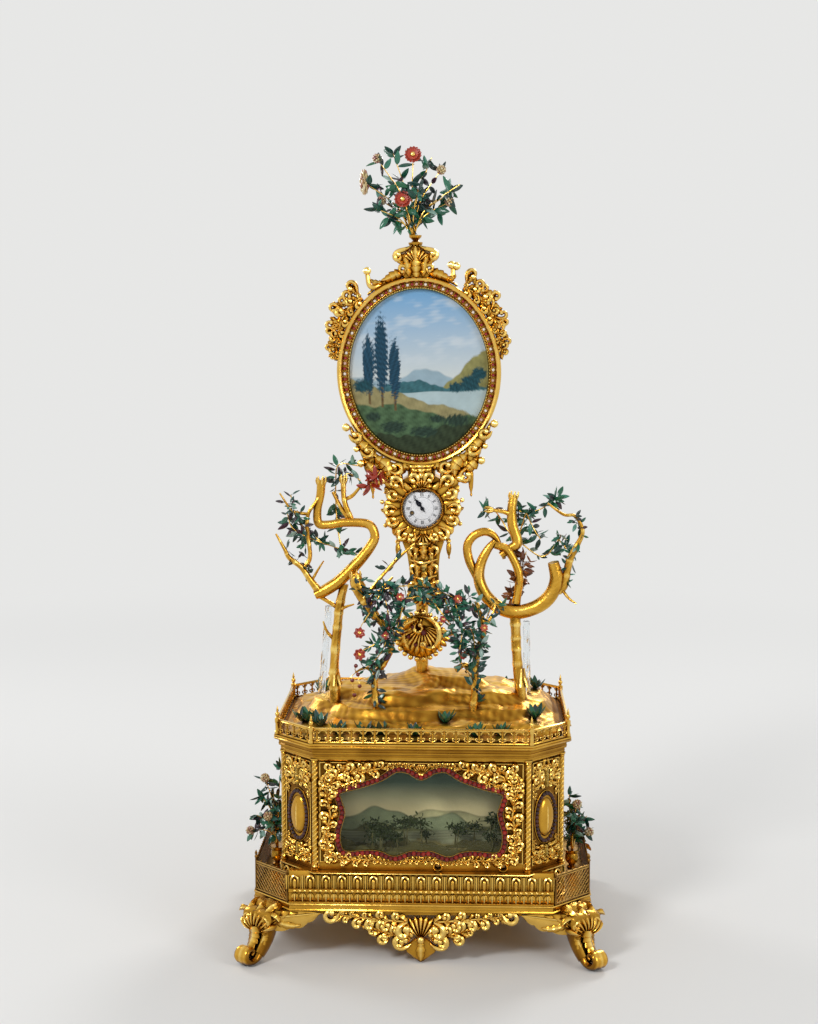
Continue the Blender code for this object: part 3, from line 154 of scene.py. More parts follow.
def skin(rings, closed=False, tone=0.5):
    """Surface through rings of points, shaped (rings, points, 3), capped or closed on itself."""
    rings = np.asarray(rings, float)
    count, around = rings.shape[:2]
    i, j = np.meshgrid(np.arange(count if closed else count - 1), np.arange(around), indexing="ij")
    after_i, after_j = (i + 1) % count, (j + 1) % around
    quads = np.stack(
        [i * around + j, i * around + after_j, after_i * around + after_j, after_i * around + j], -1)
    caps = [] if closed else [np.arange(around)[None, ::-1],
                              ((count - 1) * around + np.arange(around))[None]]
    tone = np.broadcast_to(tone, (count, around)).reshape(-1)
    return Form(rings.reshape(-1, 3), [quads.reshape(-1, 4), *caps], tone).outward()


def flowing(points, steps=8):
    """Catmull-Rom curve: a cubic blend of four neighbouring points, with steps to each span."""
    p = np.asarray(points, float)
    p = np.vstack([2 * p[0] - p[1], p, 2 * p[-1] - p[-2]])
    a, b, c, d = (p[k:len(p) - 3 + k, None] for k in range(4))
    t = (np.arange(steps) / steps)[None, :, None]
    curve = 0.5 * (2 * b + (c - a) * t + (2 * a - 5 * b + 4 * c - d) * t ** 2
                   + (3 * b - a - 3 * c + d) * t ** 3)
    return np.vstack([curve.reshape(-1, p.shape[1]), p[-2]])


def spread(values, count):
    """Values at even stations, read at count even stations between them."""
    values = np.atleast_1d(np.asarray(values, float))
    if len(values) == 1:
        return np.full(count, values[0])
    return np.interp(np.linspace(0, 1, count), np.linspace(0, 1, len(values)), values)


def section(kind, points=8):
    """Unit profile of (across, out): round, half round or ribbed leaf."""
    turn = full_turn(points)
    across, out = np.cos(turn), np.sin(turn)
    if kind == "half":
        out = np.where(out > 0, out, 0.25 * out)
    if kind == "leaf":
        out = np.where(out > 0, 0.55 * out + 0.45 * np.exp(-(across / 0.2) ** 2), 0.15 * out)
    return np.stack([across, out], -1)


ROUND = section("round")
HALF = section("half")
LEAF = section("leaf", 12)


def swept(route, width, height=None, profile=ROUND, facing=FRONT, ripple=None):
    """Profile carried along a route: each ring is the route's point plus across times width
    along the side direction plus out times height along the facing direction squared to the route."""
    route = np.asarray(route, float)
    count = len(route)
    width = spread(width, count)
    height = width if height is None else spread(height, count)
    along = unit(np.gradient(route, axis=0))
    side = unit(np.cross(along, np.broadcast_to(np.asarray(facing, float), route.shape)))
    out = np.cross(side, along)
    push = 1.0 if ripple is None else ripple(np.linspace(0, 1, count)[:, None], profile)
    across_part = (profile[None, :, 0] * width[:, None] * push)[..., None] * side[:, None]
    out_part = (profile[None, :, 1] * height[:, None] * push)[..., None] * out[:, None]
    # Painted light and shade: the tone is highest on the face towards the facing direction and lowest on
    # the flanks and back
    tone = np.broadcast_to(0.25 + 0.75 * np.clip(profile[:, 1], 0, 1), (count, len(profile)))
    return skin(route[:, None] + across_part + out_part, tone=tone)


def turned(profile, sides=24, centre=(0, 0, 0), axis="z", wave=0.0, waves=0):
    """Profile of (radius, height) spun about the upright axis, or about the one that runs to the front (y);
    wave makes the radius swell waves times round."""
    profile = np.asarray(profile, float)
    turn = full_turn(sides)
    radius = profile[:, :1] * (1 + wave * np.cos(waves * turn))[None]
    height = np.broadcast_to(profile[:, 1:2], radius.shape)
    x, y = radius * np.cos(turn), radius * np.sin(turn)
    order = (x, -height, y) if axis == "y" else (x, y, height)
    return skin(np.stack(order, -1) + np.asarray(centre, float))


def ring(profile, radii, centre, sides=96, tone=0.5):
    """Closed moulding round an upright oval: the profile's (out, front) is added to both half axes."""
    profile = np.asarray(profile, float)
    turn = full_turn(sides)[:, None]
    x = (radii[0] + profile[None, :, 0]) * np.cos(turn)
    z = (radii[1] + profile[None, :, 0]) * np.sin(turn)
    y = np.broadcast_to(-profile[None, :, 1], x.shape)
    return skin(np.stack([x, y, z], -1) + np.asarray(centre, float), closed=True, tone=tone)


def round_section(radius, points=8):
    """Small round profile for a ring or rail."""
    return on_oval(full_turn(points), radius, radius)


def pearl(sides=8, rings=5):
    """Unit ball: rings of radius sin(angle) at height cos(angle), closed by small caps."""
    angle = np.linspace(0.18, pi - 0.18, rings)
    return turned(np.stack([np.sin(angle), np.cos(angle)], -1), sides)


PEARL = pearl()
SMALL_PEARL = pearl(6, 4)


def pearls(places, radius, tone=0.8, shape=None):
    """Balls of one radius and tone at many places."""
    return copies(shape or PEARL, places, sizes=radius, tones=np.full(len(np.atleast_2d(places)), tone))


def heading_route(start, heading, length, turns, steps):
    """Flat (x, z) route: its heading, in degrees, runs smoothly through the start heading plus each
    of the turns, and the points are the running sum of equal steps along it."""
    turn = np.radians(heading + flowing(np.asarray(turns, float)[:, None], 6)[:, 0])
    turn = spread(turn, steps)
    step = length / (steps - 1)
    path = np.cumsum(np.stack([np.cos(turn), np.sin(turn)], -1) * step, axis=0)
    return np.asarray(start, float) + path - path[0]


def upright(flat, y=0.0):
    """(x, z) points stood up at a depth."""
    flat = np.asarray(flat, float)
    return np.stack([flat[:, 0], np.broadcast_to(y, len(flat)), flat[:, 1]], -1)


def scroll(start, heading, length, turns, width, y, height=None, eye=1.25):
    """Cast scroll: a ribbon on a curling route, thin at its start, with a ball in its last curl."""
    route = upright(heading_route(start, heading, length, turns, 18), y)
    widths = np.array([0.4, 0.85, 1.1, 1.1, 0.95, 0.8]) * width
    ribbon = swept(route, widths, (height or width) * np.array([0.6, 0.9, 1.05, 1.05, 1, 0.9]), HALF)
    # Painted highlight: the ball in the last curl has the highest tone
    ball = pearls(route[-1:] - (0, width * 0.3, 0), width * eye, 1.0, PEARL if width > 2.2 else SMALL_PEARL)
    return [ribbon, ball]


def acanthus(start, heading, length, turns, width, y, lobes=4, height=None):
    """Leaf on a curling route: its half width is a sine hump, cut into forward pointing lobes by a saw
    whose teeth rise slowly and drop fast."""
    steps = 6 * lobes + 1
    route = upright(heading_route(start, heading, length, turns, steps), y)
    u = np.linspace(0, 1, steps)
    saw = np.mod(lobes * u * 0.999 + 0.001, 1) ** 0.7
    hump = np.sin(pi * np.clip(u * 0.9 + 0.1, 0, 1)) ** 0.75
    widths = width * (0.06 + hump * (0.62 + 0.38 * saw))
    lift = (height or width * 0.7) * (0.4 + 0.6 * hump) * (0.8 + 0.2 * saw)
    return swept(route, widths, lift, LEAF)


def shell(centre, radius, start, end, ribs, y, height, inner=0.12):
    """Fan: rings of points whose reach is scalloped by ribs and whose height swells along each rib."""
    turn = np.radians(np.linspace(start, end, ribs * 6 + 1))
    wave = np.abs(np.sin(ribs * pi * np.linspace(0, 1, len(turn))))
    reach = np.linspace(inner, 1, 9)[:, None]
    bulge = np.sin(pi * np.linspace(0.12, 1, 9))[:, None] ** 0.6 * (0.45 + 0.55 * wave)
    r = radius * reach * (1 - 0.13 * (1 - wave) * reach)
    x, z = centre[0] + r * np.cos(turn), centre[1] + r * np.sin(turn)
    front = np.stack([x, y - height * (0.12 + bulge), z], -1)
    back = np.stack([x, np.full_like(x, y), z], -1)
    rings = np.concatenate([front, back[::-1]], 0).transpose(1, 0, 2)
    # Painted light and shade: the front is lighter where the ribs swell and the back is painted dark
    tone = np.concatenate([0.3 + 0.7 * bulge * np.ones_like(x), np.zeros_like(x)], 0).T
    return skin(rings, tone=tone)


def both(forms):
    """Forms and their mirror images."""
    return [*forms, *[form.flipped() for form in forms]]


def leaned(forms):
    """Forms in millimetres above the waist, leaned with it."""
    turn = np.array([[cos(LEAN), 0, -sin(LEAN)], [0, 1, 0], [sin(LEAN), 0, cos(LEAN)]])
    return [form.placed(turn, WAIST) for form in forms]


def octagon(plan, inset=0.0):
    """Corners of a rectangle with cut corners, as (x, y) rows that run round from the front right."""
    half_x, half_y, corner = plan[0] - inset, plan[1] - inset, plan[2] - inset * (2 - 2 ** 0.5)
    xs, ys = half_x - corner, half_y - corner
    return np.array([(xs, -half_y), (half_x, -ys), (half_x, ys), (xs, half_y),
                     (-xs, half_y), (-half_x, ys), (-half_x, -ys), (-xs, -half_y)], float)


def moulding(plan, profile, tone=0.5):
    """Closed moulding round the octagon: each profile point is (out, height), mitred at the corners."""
    rings = [np.column_stack([octagon(plan, -out), np.full(8, height)]) for out, height in profile]
    return skin(np.array(rings), closed=True, tone=tone)


def around(plan, pitch, out=0.0, sides=range(8), margin=0.0):
    """Even places along the octagon's sides: (x, y) rows and each one's outward angle."""
    corners = octagon(plan, -out)
    places, turns = [], []
    for k in sides:
        start, end = corners[k], corners[(k + 1) % 8]
        run = end - start
        length = np.hypot(*run)
        count = max(1, int(round((length - 2 * margin) / pitch)))
        t = (margin + (np.arange(count) + 0.5) * (length - 2 * margin) / count) / length
        places.append(start + t[:, None] * run)
        turns.append(np.full(count, np.arctan2(run[1], run[0])))
    return np.vstack(places), np.concatenate(turns)


def turns_about_z(angles):
    """Matrices of turns about the upright axis, one for each angle, or one alone."""
    c, s, none, whole = np.cos(angles), np.sin(angles), np.zeros_like(angles), np.ones_like(angles)
    rows = [(c, -s, none), (s, c, none), (none, none, whole)]
    return np.stack([np.stack(row, -1) for row in rows], -2)


def set_round(form, plan, pitch, height, out=0.0, sides=range(8), margin=0.0):
    """Copies of a form made for the front side, set evenly round the octagon."""
    places, angles = around(plan, pitch, out, sides, margin)
    return copies(form, np.column_stack([places, np.full(len(places), height)]), turns_about_z(angles))


# Materials: most read the tone attribute, or a fixed tone on parts that come from the CAD model. On gilt
# the tone is mostly painted light and shade; on glass, stones and enamel it picks a colour
def blank(name, roughness, metallic=0.0, transmission=0.0):
    """New material, with its node tree and its shader."""
    material = bpy.data.materials.new(name)
    material.use_nodes = True
    shader = material.node_tree.nodes["Principled BSDF"]
    shader.inputs["Roughness"].default_value = roughness
    shader.inputs["Metallic"].default_value = metallic
    shader.inputs["Transmission Weight"].default_value = transmission
    return material, material.node_tree, shader


def node_of(tree, kind, **settings):
    """New node with its sockets or, where no socket has the name, its properties set."""
    made = tree.nodes.new(kind)
    for key, value in settings.items():
        if key in made.inputs:
            made.inputs[key].default_value = value
        else:
            setattr(made, key, value)
    return made


def ramp(tree, factor, stops, interpolation="LINEAR"):
    """Colour ramp of (place, colour) stops driven by a socket."""
    made = tree.nodes.new("ShaderNodeValToRGB")
    made.color_ramp.interpolation = interpolation
    elements = made.color_ramp.elements
    while len(elements) < len(stops):
        elements.new(0.5)
    for element, (place, colour) in zip(elements, stops):
        element.position = place
        element.color = (*colour, 1)
    tree.links.new(factor, made.inputs["Fac"])
    return made.outputs["Color"]


def math_of(tree, operation, first, second):
    """Result of an operation on two numbers or sockets."""
    made = node_of(tree, "ShaderNodeMath", operation=operation)
    for socket, value in zip(made.inputs, (first, second)):
        if isinstance(value, (int, float)):
            socket.default_value = value
        else:
            tree.links.new(value, socket)
    return made.outputs[0]


def noise_of(tree, scale, detail=3.0):
    """Noise on Object coordinates."""
    place = tree.nodes.new("ShaderNodeTexCoord").outputs["Object"]
    made = node_of(tree, "ShaderNodeTexNoise", Scale=scale, Detail=detail)
    tree.links.new(place, made.inputs["Vector"])
    return made.outputs["Fac"]


def bump(tree, shader, height, strength, distance):
    """Fine relief from a height socket."""
    made = node_of(tree, "ShaderNodeBump", Strength=strength, Distance=distance)
    tree.links.new(height, made.inputs["Height"])
    tree.links.new(made.outputs["Normal"], shader.inputs["Normal"])


def tone_of(tree, fixed):
    """The tone attribute, or a fixed tone."""
    if fixed is None:
        return node_of(tree, "ShaderNodeAttribute", attribute_name="tone").outputs["Fac"]
    made = tree.nodes.new("ShaderNodeValue").outputs[0]
    made.default_value = fixed
    return made


def gilded(name, stops, roughness, fixed=None, grain=0.25, scale=260.0):
    """Cast and gilded metal with painted shade and light: hollows, found by occlusion, and low places of
    the tone are painted darker, and high places of the tone lighter; noise patches vary it at random.
    """
    material, tree, shader = blank(name, roughness, 1.0)
    tone = tone_of(tree, fixed)
    # Painted shade: the occlusion darkens the base colour in hollows
    shade = node_of(tree, "ShaderNodeAmbientOcclusion", samples=6, Distance=7 * MM).outputs["AO"]
    patches = math_of(tree, "MULTIPLY", math_of(tree, "SUBTRACT", noise_of(tree, 38.0), 0.5), 0.35)
    level = math_of(tree, "ADD", math_of(tree, "MULTIPLY", tone, math_of(tree, "POWER", shade, 1.4)),
                    patches)
    tree.links.new(ramp(tree, level, stops), shader.inputs["Base Color"])
    worn = math_of(tree, "ADD", math_of(tree, "MULTIPLY", noise_of(tree, 90.0), 0.16), roughness - 0.08)
    tree.links.new(worn, shader.inputs["Roughness"])
    bump(tree, shader, noise_of(tree, scale, 4.0), grain, 0.6 * MM)
    return material


def tinted(name, stops, roughness, transmission=0.0, coat=0.0, interpolation="LINEAR", grain=0.0):
    """Glass, enamel or stone whose colour follows the tone."""
    material, tree, shader = blank(name, roughness, 0.0, transmission)
    tone = tone_of(tree, None)
    tree.links.new(ramp(tree, tone, stops, interpolation), shader.inputs["Base Color"])
    shader.inputs["Coat Weight"].default_value = coat
    if grain:
        bump(tree, shader, noise_of(tree, 180.0), grain, 0.5 * MM)
    return material


def painted(name, roughness, sheen):
    """Paint that shows the colour attribute worked out for its grid."""
    material, tree, shader = blank(name, roughness)
    paint = node_of(tree, "ShaderNodeAttribute", attribute_name="paint")
    tree.links.new(paint.outputs["Color"], shader.inputs["Base Color"])
    shader.inputs["Specular IOR Level"].default_value = sheen
    return material


def pane(name):
    """Thin flat glass: mostly open to light, with a faint sheen."""
    material, _, shader = blank(name, 0.04)
    shader.inputs["Base Color"].default_value = (0.06, 0.07, 0.07, 1)
    shader.inputs["Alpha"].default_value = 0.05
    return material


GOLD_STOPS = [(0.0, (0.055, 0.022, 0.003)), (0.25, (0.27, 0.115, 0.011)), (0.58, (0.70, 0.38, 0.046)),
              (1.0, (1.0, 0.72, 0.21))]
GILT = gilded("gilt_bronze_cast", GOLD_STOPS, 0.22)
PLAIN_GILT = gilded("gilt_bronze_plain", GOLD_STOPS, 0.28, fixed=0.56)
# Gilt with a lower fixed tone than the plain gilt, used on the platform
DARKER_GILT = gilded("gilt_bronze_darker", GOLD_STOPS, 0.3, fixed=0.42)
TREE_GILT = gilded("gilt_bronze_tree", GOLD_STOPS, 0.25, grain=0.5, scale=420.0)
ROCK_GILT = gilded("gilt_bronze_rock", GOLD_STOPS, 0.34, grain=0.5, scale=220.0)
DARK_GILT = gilded("gilt_bronze_matt", [(0.0, (0.04, 0.016, 0.004)), (0.5, (0.22, 0.11, 0.024)),
                                        (1.0, (0.62, 0.38, 0.10))], 0.42)
BRASS = gilded("lacquered_brass", [(0.0, (0.18, 0.10, 0.03)), (0.5, (0.66, 0.46, 0.17)),
                                   (1.0, (0.90, 0.72, 0.36))], 0.32, fixed=0.65)
STEEL = gilded("blued_steel_hands", [(0.0, (0.01, 0.01, 0.02)), (1.0, (0.05, 0.06, 0.10))], 0.30)
ENAMEL = tinted("white_enamel_dial", [(0.0, (0.015, 0.015, 0.02)), (0.5, (0.86, 0.87, 0.90)),
                                      (1.0, (0.93, 0.93, 0.95))], 0.2, coat=0.3)
RED_STONE = tinted("red_paste", [(0.0, (0.02, 0.001, 0.0)), (0.5, (0.14, 0.004, 0.002)),
                                 (1.0, (0.30, 0.014, 0.006))], 0.26)
DARK_STONE = tinted("dark_paste", [(0.0, (0.008, 0.001, 0.001)), (1.0, (0.05, 0.004, 0.005))], 0.2)
PASTE = tinted("ring_paste", [(0.0, (0.32, 0.012, 0.02)), (0.5, (0.66, 0.42, 0.34)),
                              (1.0, (0.86, 0.80, 0.74))],
               0.08, 0.1, coat=0.6, interpolation="CONSTANT")
LEAF_GLASS = tinted("leaf_glass", [(0.0, (0.05, 0.014, 0.03)), (0.22, (0.010, 0.028, 0.024)),
                                   (0.45, (0.005, 0.06, 0.045)), (0.72, (0.012, 0.115, 0.045)),
                                   (0.92, (0.04, 0.19, 0.13)), (1.0, (0.38, 0.50, 0.45))],
                    0.24, coat=0.1, grain=0.15)
FLOWER = tinted("flower_glass", [(0.0, (0.16, 0.010, 0.004)), (0.5, (0.40, 0.034, 0.010)),
                                 (1.0, (0.56, 0.16, 0.035))], 0.28, coat=0.25, grain=0.3)
RUSSET = tinted("russet_glass", [(0.0, (0.08, 0.02, 0.008)), (1.0, (0.30, 0.10, 0.03))], 0.3, coat=0.4)
BEADS = tinted("bead_glass", [(0.0, (0.30, 0.09, 0.07)), (0.4, (0.48, 0.30, 0.15)),
                              (0.7, (0.56, 0.44, 0.20)), (1.0, (0.72, 0.64, 0.44))], 0.2, coat=0.3)
CLEAR = tinted("clear_glass", [(0.0, (0.86, 0.91, 0.93)), (1.0, (0.93, 0.96, 0.97))], 0.05, 1.0)
PANE = pane("thin_pane")
PICTURE = painted("painted_picture", 0.5, 0.12)
SCENERY = painted("painted_scenery", 0.6, 0.1)


def piece(name, forms, material, slot, stands_for=(), body=BODY, sharp=42, paint=None):
    """One mesh in metres of forms in millimetres, with its tone, riding on a body."""
    form = together(forms)
    mesh = bpy.data.meshes.new(name)
    mesh.vertices.add(len(form.points))
    mesh.vertices.foreach_set("co", (form.points * MM).ravel())
    corners = np.concatenate([group.ravel() for group in form.faces])
    sizes = np.concatenate([np.full(len(group), group.shape[1]) for group in form.faces])
    mesh.loops.add(len(corners))
    mesh.polygons.add(len(sizes))
    mesh.polygons.foreach_set("loop_start", np.cumsum(sizes) - sizes)
    mesh.polygons.foreach_set("vertices", corners)
    mesh.update(calc_edges=True)
    mesh.attributes.new("tone", "FLOAT", "POINT").data.foreach_set("value", form.tone)
    if paint is not None:
        colours = np.column_stack([paint, np.ones(len(paint))])
        mesh.attributes.new("paint", "FLOAT_COLOR", "POINT").data.foreach_set("color", colours.ravel())
    mesh.shade_smooth()
    mesh.set_sharp_from_angle(angle=radians(sharp))
    mesh.materials.append(material)
    item = bpy.data.objects.new(name, mesh)
    bpy.context.collection.objects.link(item)
    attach(item, body)
    if stands_for:
        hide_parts(*stands_for)


def gold(name, forms, stands_for=(), material=GILT, **more):
    """Gilt piece, of the cast gilding unless another is named."""
    piece(name, forms, material, "gilt", stands_for, **more)


# Shapes used over and over
def slab(outline, front, back, bevel=0.8, tone=0.5):
    """Upright plate of an (x, z) outline between two depths, its front edge drawn in by the bevel."""
    flat = np.asarray(outline, float)
    middle = flat.mean(0)
    drawn = flat - unit(flat - middle) * bevel
    rings = np.stack([upright(drawn, front), upright(flat, front + bevel), upright(flat, back)])
    return skin(rings, tone=tone)


def two_halves(half):
    """Whole outline from its right half, run from top to bottom; points on the middle line stay single."""
    half = np.asarray(half, float)
    left = half[::-1] * (-1, 1)
    return np.vstack([half, left[np.abs(left[:, 0]) > 1e-6]])


def smooth_outline(points, steps=3):
    """Closed outline through points by the same cubic as flowing, wrapped round."""
    p = np.asarray(points, float)
    wrapped = flowing(np.vstack([p[-1:], p, p[:2]]), steps)
    return wrapped[steps:steps * (len(p) + 1)]


def band(outer, inner, front, back, tone=0.5):
    """Closed plate with a hole: each station joins an outer and an inner (x, z) point."""
    rings = np.stack(
        [upright(outer, front), upright(inner, front), upright(inner, back), upright(outer, back)], 1)
    return skin(rings, closed=True, tone=tone)


def polar(outline, centre, count):
    """Points where count even rays from the centre meet a star-shaped outline."""
    offset = np.asarray(outline, float) - centre
    angle, reach = np.arctan2(offset[:, 1], offset[:, 0]), np.hypot(*offset.T)
    order = np.argsort(angle)
    turn = np.linspace(-pi, pi, count, endpoint=False)
    far = np.interp(turn, angle[order], reach[order], period=tau)
    return np.asarray(centre) + far[:, None] * np.stack([np.cos(turn), np.sin(turn)], -1)


def boxed(centre, half, count):
    """Points where count even rays from the centre meet an upright rectangle, corners kept square."""
    turn = np.linspace(-pi, pi, count, endpoint=False)
    reach = 1 / np.maximum(np.abs(np.cos(turn)) / half[0], np.abs(np.sin(turn)) / half[1])
    return np.asarray(centre) + reach[:, None] * np.stack([np.cos(turn), np.sin(turn)], -1)


def stations(route, pitch, closed=False):
    """Even places along a route, about a pitch apart."""
    route = np.asarray(route, float)
    if closed:
        route = np.vstack([route, route[:1]])
    run = np.concatenate([[0], np.cumsum(np.linalg.norm(np.diff(route, axis=0), axis=1))])
    count = max(2, int(round(run[-1] / pitch)))
    at = np.linspace(0, run[-1], count, endpoint=not closed)
    return np.stack([np.interp(at, run, column) for column in route.T], -1)


def box(low, high, tone=0.5):
    """Block between two corners."""
    low, high = np.asarray(low, float), np.asarray(high, float)
    corners = np.array([(0, 0), (1, 0), (1, 1), (0, 1)])
    rings = [np.column_stack([low[:2] + corners * (high - low)[:2], np.full(4, z)])
             for z in (low[2], high[2])]
    return skin(np.array(rings), tone=tone)


def leaflet(length=1.0, width=0.4, curl=0.15, steps=9):
    """Thin leaf along +X that faces -Y: half width is a pointed sine hump, the middle is creased and
    the tip bends back by the curl."""
    u = np.linspace(0.02, 0.98, steps)
    half = width / 2 * np.sin(pi * u ** 0.8) ** 0.8 + 0.01
    across = np.array([-1, -0.5, 0, 0.5, 1, 0.5, 0, -0.5])
    lift = np.array([0, 0.35, 0.15, 0.35, 0, 0.12, -0.08, 0.12]) * width * 0.4
    z = half[:, None] * across[None]
    y = -lift[None] * np.sin(pi * u)[:, None] + curl * (u ** 2)[:, None]
    x = np.broadcast_to((u * length)[:, None], z.shape)
    return skin(np.stack([x, y, z], -1), tone=0.5)


LEAFLET = leaflet()
# Stalk one unit long and one unit in radius, along +X, sized to each use
STALK = swept(np.array([(0.0, 0, 0), (1.0, 0, 0)]), 1.0, None, ROUND[::2])


def random_turns(count, chance):
    """Turns whose leaf direction is anywhere and whose face, squared to it, leans towards the front."""
    along = unit(chance.normal(size=(count, 3)) * (1, 0.7, 1))
    face = unit(np.asarray(FRONT) + 0.8 * chance.normal(size=(count, 3)))
    face = unit(face - np.sum(face * along, -1, keepdims=True) * along)
    return np.stack([along, -face, np.cross(along, -face)], -1)


def leaves_along(route, count, chance, size, spread_out):
    """Leaves on short stalks, set at chance places on a route and pointing away from it."""
    places = stations(route, 0.5)
    pick = chance.integers(0, len(places), count)
    turns = random_turns(count, chance)
    reach = spread_out * 0.2
    stalk_sizes = np.tile((reach + 0.8, 0.32, 0.32), (count, 1))
    stalks = copies(STALK, places[pick], turns, stalk_sizes, np.full(count, 0.3))
    roots = places[pick] + turns[:, :, 0] * reach
    lengths = size * chance.uniform(0.7, 1.15, count)
    return together([copies(LEAFLET, roots, turns, lengths, tones=chance.uniform(0, 1, count)), stalks])


def flower(centre, radius, facing=(0, -1, 0.2), petals=8, tone=0.5):
    """Flower head: two rows of cupped petals round a domed button."""
    face = unit(np.asarray(facing, float))
    side = unit(np.cross(face, (0, 0, 1)))
    up = np.cross(side, face)
    frame_turn = np.stack([side, -face, up], -1)
    rows = []
    petal = leaflet(1.0, 0.85, -0.28, 6)
    for share, lift, shift in ((1.0, 0.0, 0.0), (0.68, 0.22, 0.5)):
        turn = tau * (np.arange(petals) + shift) / petals
        spin = np.stack([np.stack([np.cos(turn), 0 * turn, -np.sin(turn)], -1),
                         np.stack([0 * turn, 0 * turn + 1, 0 * turn], -1),
                         np.stack([np.sin(turn), 0 * turn, np.cos(turn)], -1)], -2)
        places = np.zeros((petals, 3)) + (0, -lift * radius, 0)
        rows.append(copies(petal, places, spin, radius * share, tones=np.full(petals, tone + 0.3 * shift)))
    button = PEARL.placed(scale=(radius * 0.3, radius * 0.24, radius * 0.3), shift=(0, -radius * 0.34, 0))
    return [form.placed(frame_turn, centre) for form in rows], button.placed(frame_turn, centre).toned(1.0)


GOLDEN_ANGLE = 2.39996


def bead_cluster(radius, chance, beads=34):
    """Beads packed over a ball: even steps of height, each turned on by the golden angle."""
    k = np.arange(beads) + 0.5
    z = 1 - 2 * k / beads
    turn = k * GOLDEN_ANGLE
    across = np.sqrt(1 - z * z)
    places = np.stack([across * np.cos(turn), across * np.sin(turn), z], -1)
    tones = np.repeat(chance.uniform(0, 1, beads), len(SMALL_PEARL.points))
    return pearls(places * radius, radius * 0.34, shape=SMALL_PEARL).toned(tones)


# Turns in degrees along the scrolls and leaves of foliage, and along the scrolls of the clock case
CURL = np.array([0, 22, 85, 175, 285])
LEAF_CURL = np.array([0, 0, 50])
CASE_CURL = np.array([0, 20, 80, 170, 280])


def foliage(spine, reach, y, side=1, gap=1.05, thick=0.25):
    """Scrollwork along a flat spine: at steps that follow the reach, a C-scroll to one side and a lobed
    leaf to the other, in turn, over a rib along the spine; sizes drift by a slow sine of the count.
    A pair of reaches is for left and right."""
    route = flowing(spine, 6)
    run = np.concatenate([[0], np.cumsum(np.hypot(*np.diff(route, axis=0).T))])
    left, right = reach if isinstance(reach, tuple) else (reach, reach)
    reaches = {1: spread(left, len(run)), -1: spread(right, len(run))}
    mean = (reaches[1] + reaches[-1]) / 2
    forms = [swept(upright(route, y), 0.17 * mean, 0.24 * mean, HALF)]
    at, count = 0.0, 0
    while at < run[-1]:
        behind, place, ahead = (np.array([np.interp(at + step, run, column) for column in route.T])
                                for step in (-0.5, 0, 0.5))
        heading = np.degrees(np.arctan2(*(ahead - behind)[::-1]))
        drift = 1 + 0.16 * sin(2.1 * count + 5 * reaches[1][0])
        curl, blade = (drift * np.interp(at, run, reaches[way]) for way in (side, -side))
        forms += scroll(place, heading + side * 20, curl * 2.1, side * CURL, thick * curl, y - 0.3,
                        0.4 * curl)
        forms.append(acanthus(place, heading - side * (34 + 20 * sin(1.7 * count)), blade * 1.4,
                              side * LEAF_CURL, blade * 0.42, y - 0.1, 3, blade * 0.34))
        at += gap * (curl + blade) / 2
        side, count = -side, count + 1
    return forms


def leaf_plate(upper, lower, lobes, y, height):
    """Broad ribbed leaf between two flat routes: its lower edge is scalloped and its face swells between
    the edges and along each rib."""
    u = np.linspace(0, 1, 8 * lobes + 1)
    top, bottom = (np.stack([spread(column, len(u)) for column in flowing(edge).T], -1)
                   for edge in (upper, lower))
    wave = np.abs(np.sin(lobes * pi * u)) ** 0.8
    bottom = top + (bottom - top) * (0.86 + 0.14 * wave)[:, None]
    v = np.linspace(0, 1, 9)[None]
    lift = height * (0.1 + np.sin(pi * np.clip(v * 0.86 + 0.1, 0, 1)) ** 0.7
                     * (0.62 + 0.38 * wave[:, None]))
    flat = top[:, None] * (1 - v[..., None]) + bottom[:, None] * v[..., None]
    front = np.stack([flat[..., 0], y - lift, flat[..., 1]], -1)
    rear = np.stack([flat[..., 0], y + 1.2 + 0 * lift, flat[..., 1]], -1)[:, ::-1]
    # Painted light and shade: lighter on the ribs and towards the lower edge, the back painted dark
    tone = np.concatenate([0.2 + 0.75 * wave[:, None] * (0.4 + 0.6 * v), 0.1 + 0 * lift], 1)
    return skin(np.concatenate([front, rear], 1), tone=tone)


def fluted(rows, back, depth, flutes, bands):
    """Upright pillow through rows of (half width, height): its depth swells towards the middle and is
    cut by flutes that run up it and by bands that run across."""
    rows = flowing(rows, 6)
    u = np.linspace(-1, 1, 6 * flutes + 1)[None]
    v = np.linspace(0, 1, len(rows))[:, None]
    flute = 0.7 + 0.3 * np.abs(np.sin(flutes * pi * (u + 1) / 2))
    swell = (1 - u ** 4) * (flute * (0.8 + 0.2 * np.abs(np.sin(bands * pi * v))))
    x, z = rows[:, :1] * u, rows[:, 1:2] + 0 * u
    front = np.stack([x, back - 0.3 - depth * swell, z], -1)
    rear = np.stack([x, back + 1.2 + 0 * x, z], -1)[:, ::-1]
    # Painted light and shade: lighter where the pillow swells, darker in the flutes and bands, the back
    # painted dark
    tone = np.concatenate([np.clip(1.5 * swell - 0.45, 0.1, 1), 0.2 + 0 * swell], 1)
    return skin(np.concatenate([front, rear], 1), tone=tone)


# Feet, modelled at the front right corner and mirrored to the others
def draped_leaf(spine, half, lift):
    """Leaf along a route in space that faces outwards and up, its edge cut into four lobes by a saw."""
    route = flowing(spine, 8)
    saw = np.mod(np.linspace(0, 3.99, len(route)), 1) ** 0.7
    return swept(route, half * (0.6 + 0.4 * saw) * np.linspace(1, 0.7, len(route)), lift, LEAF,
                 (0, -0.7, 0.7))


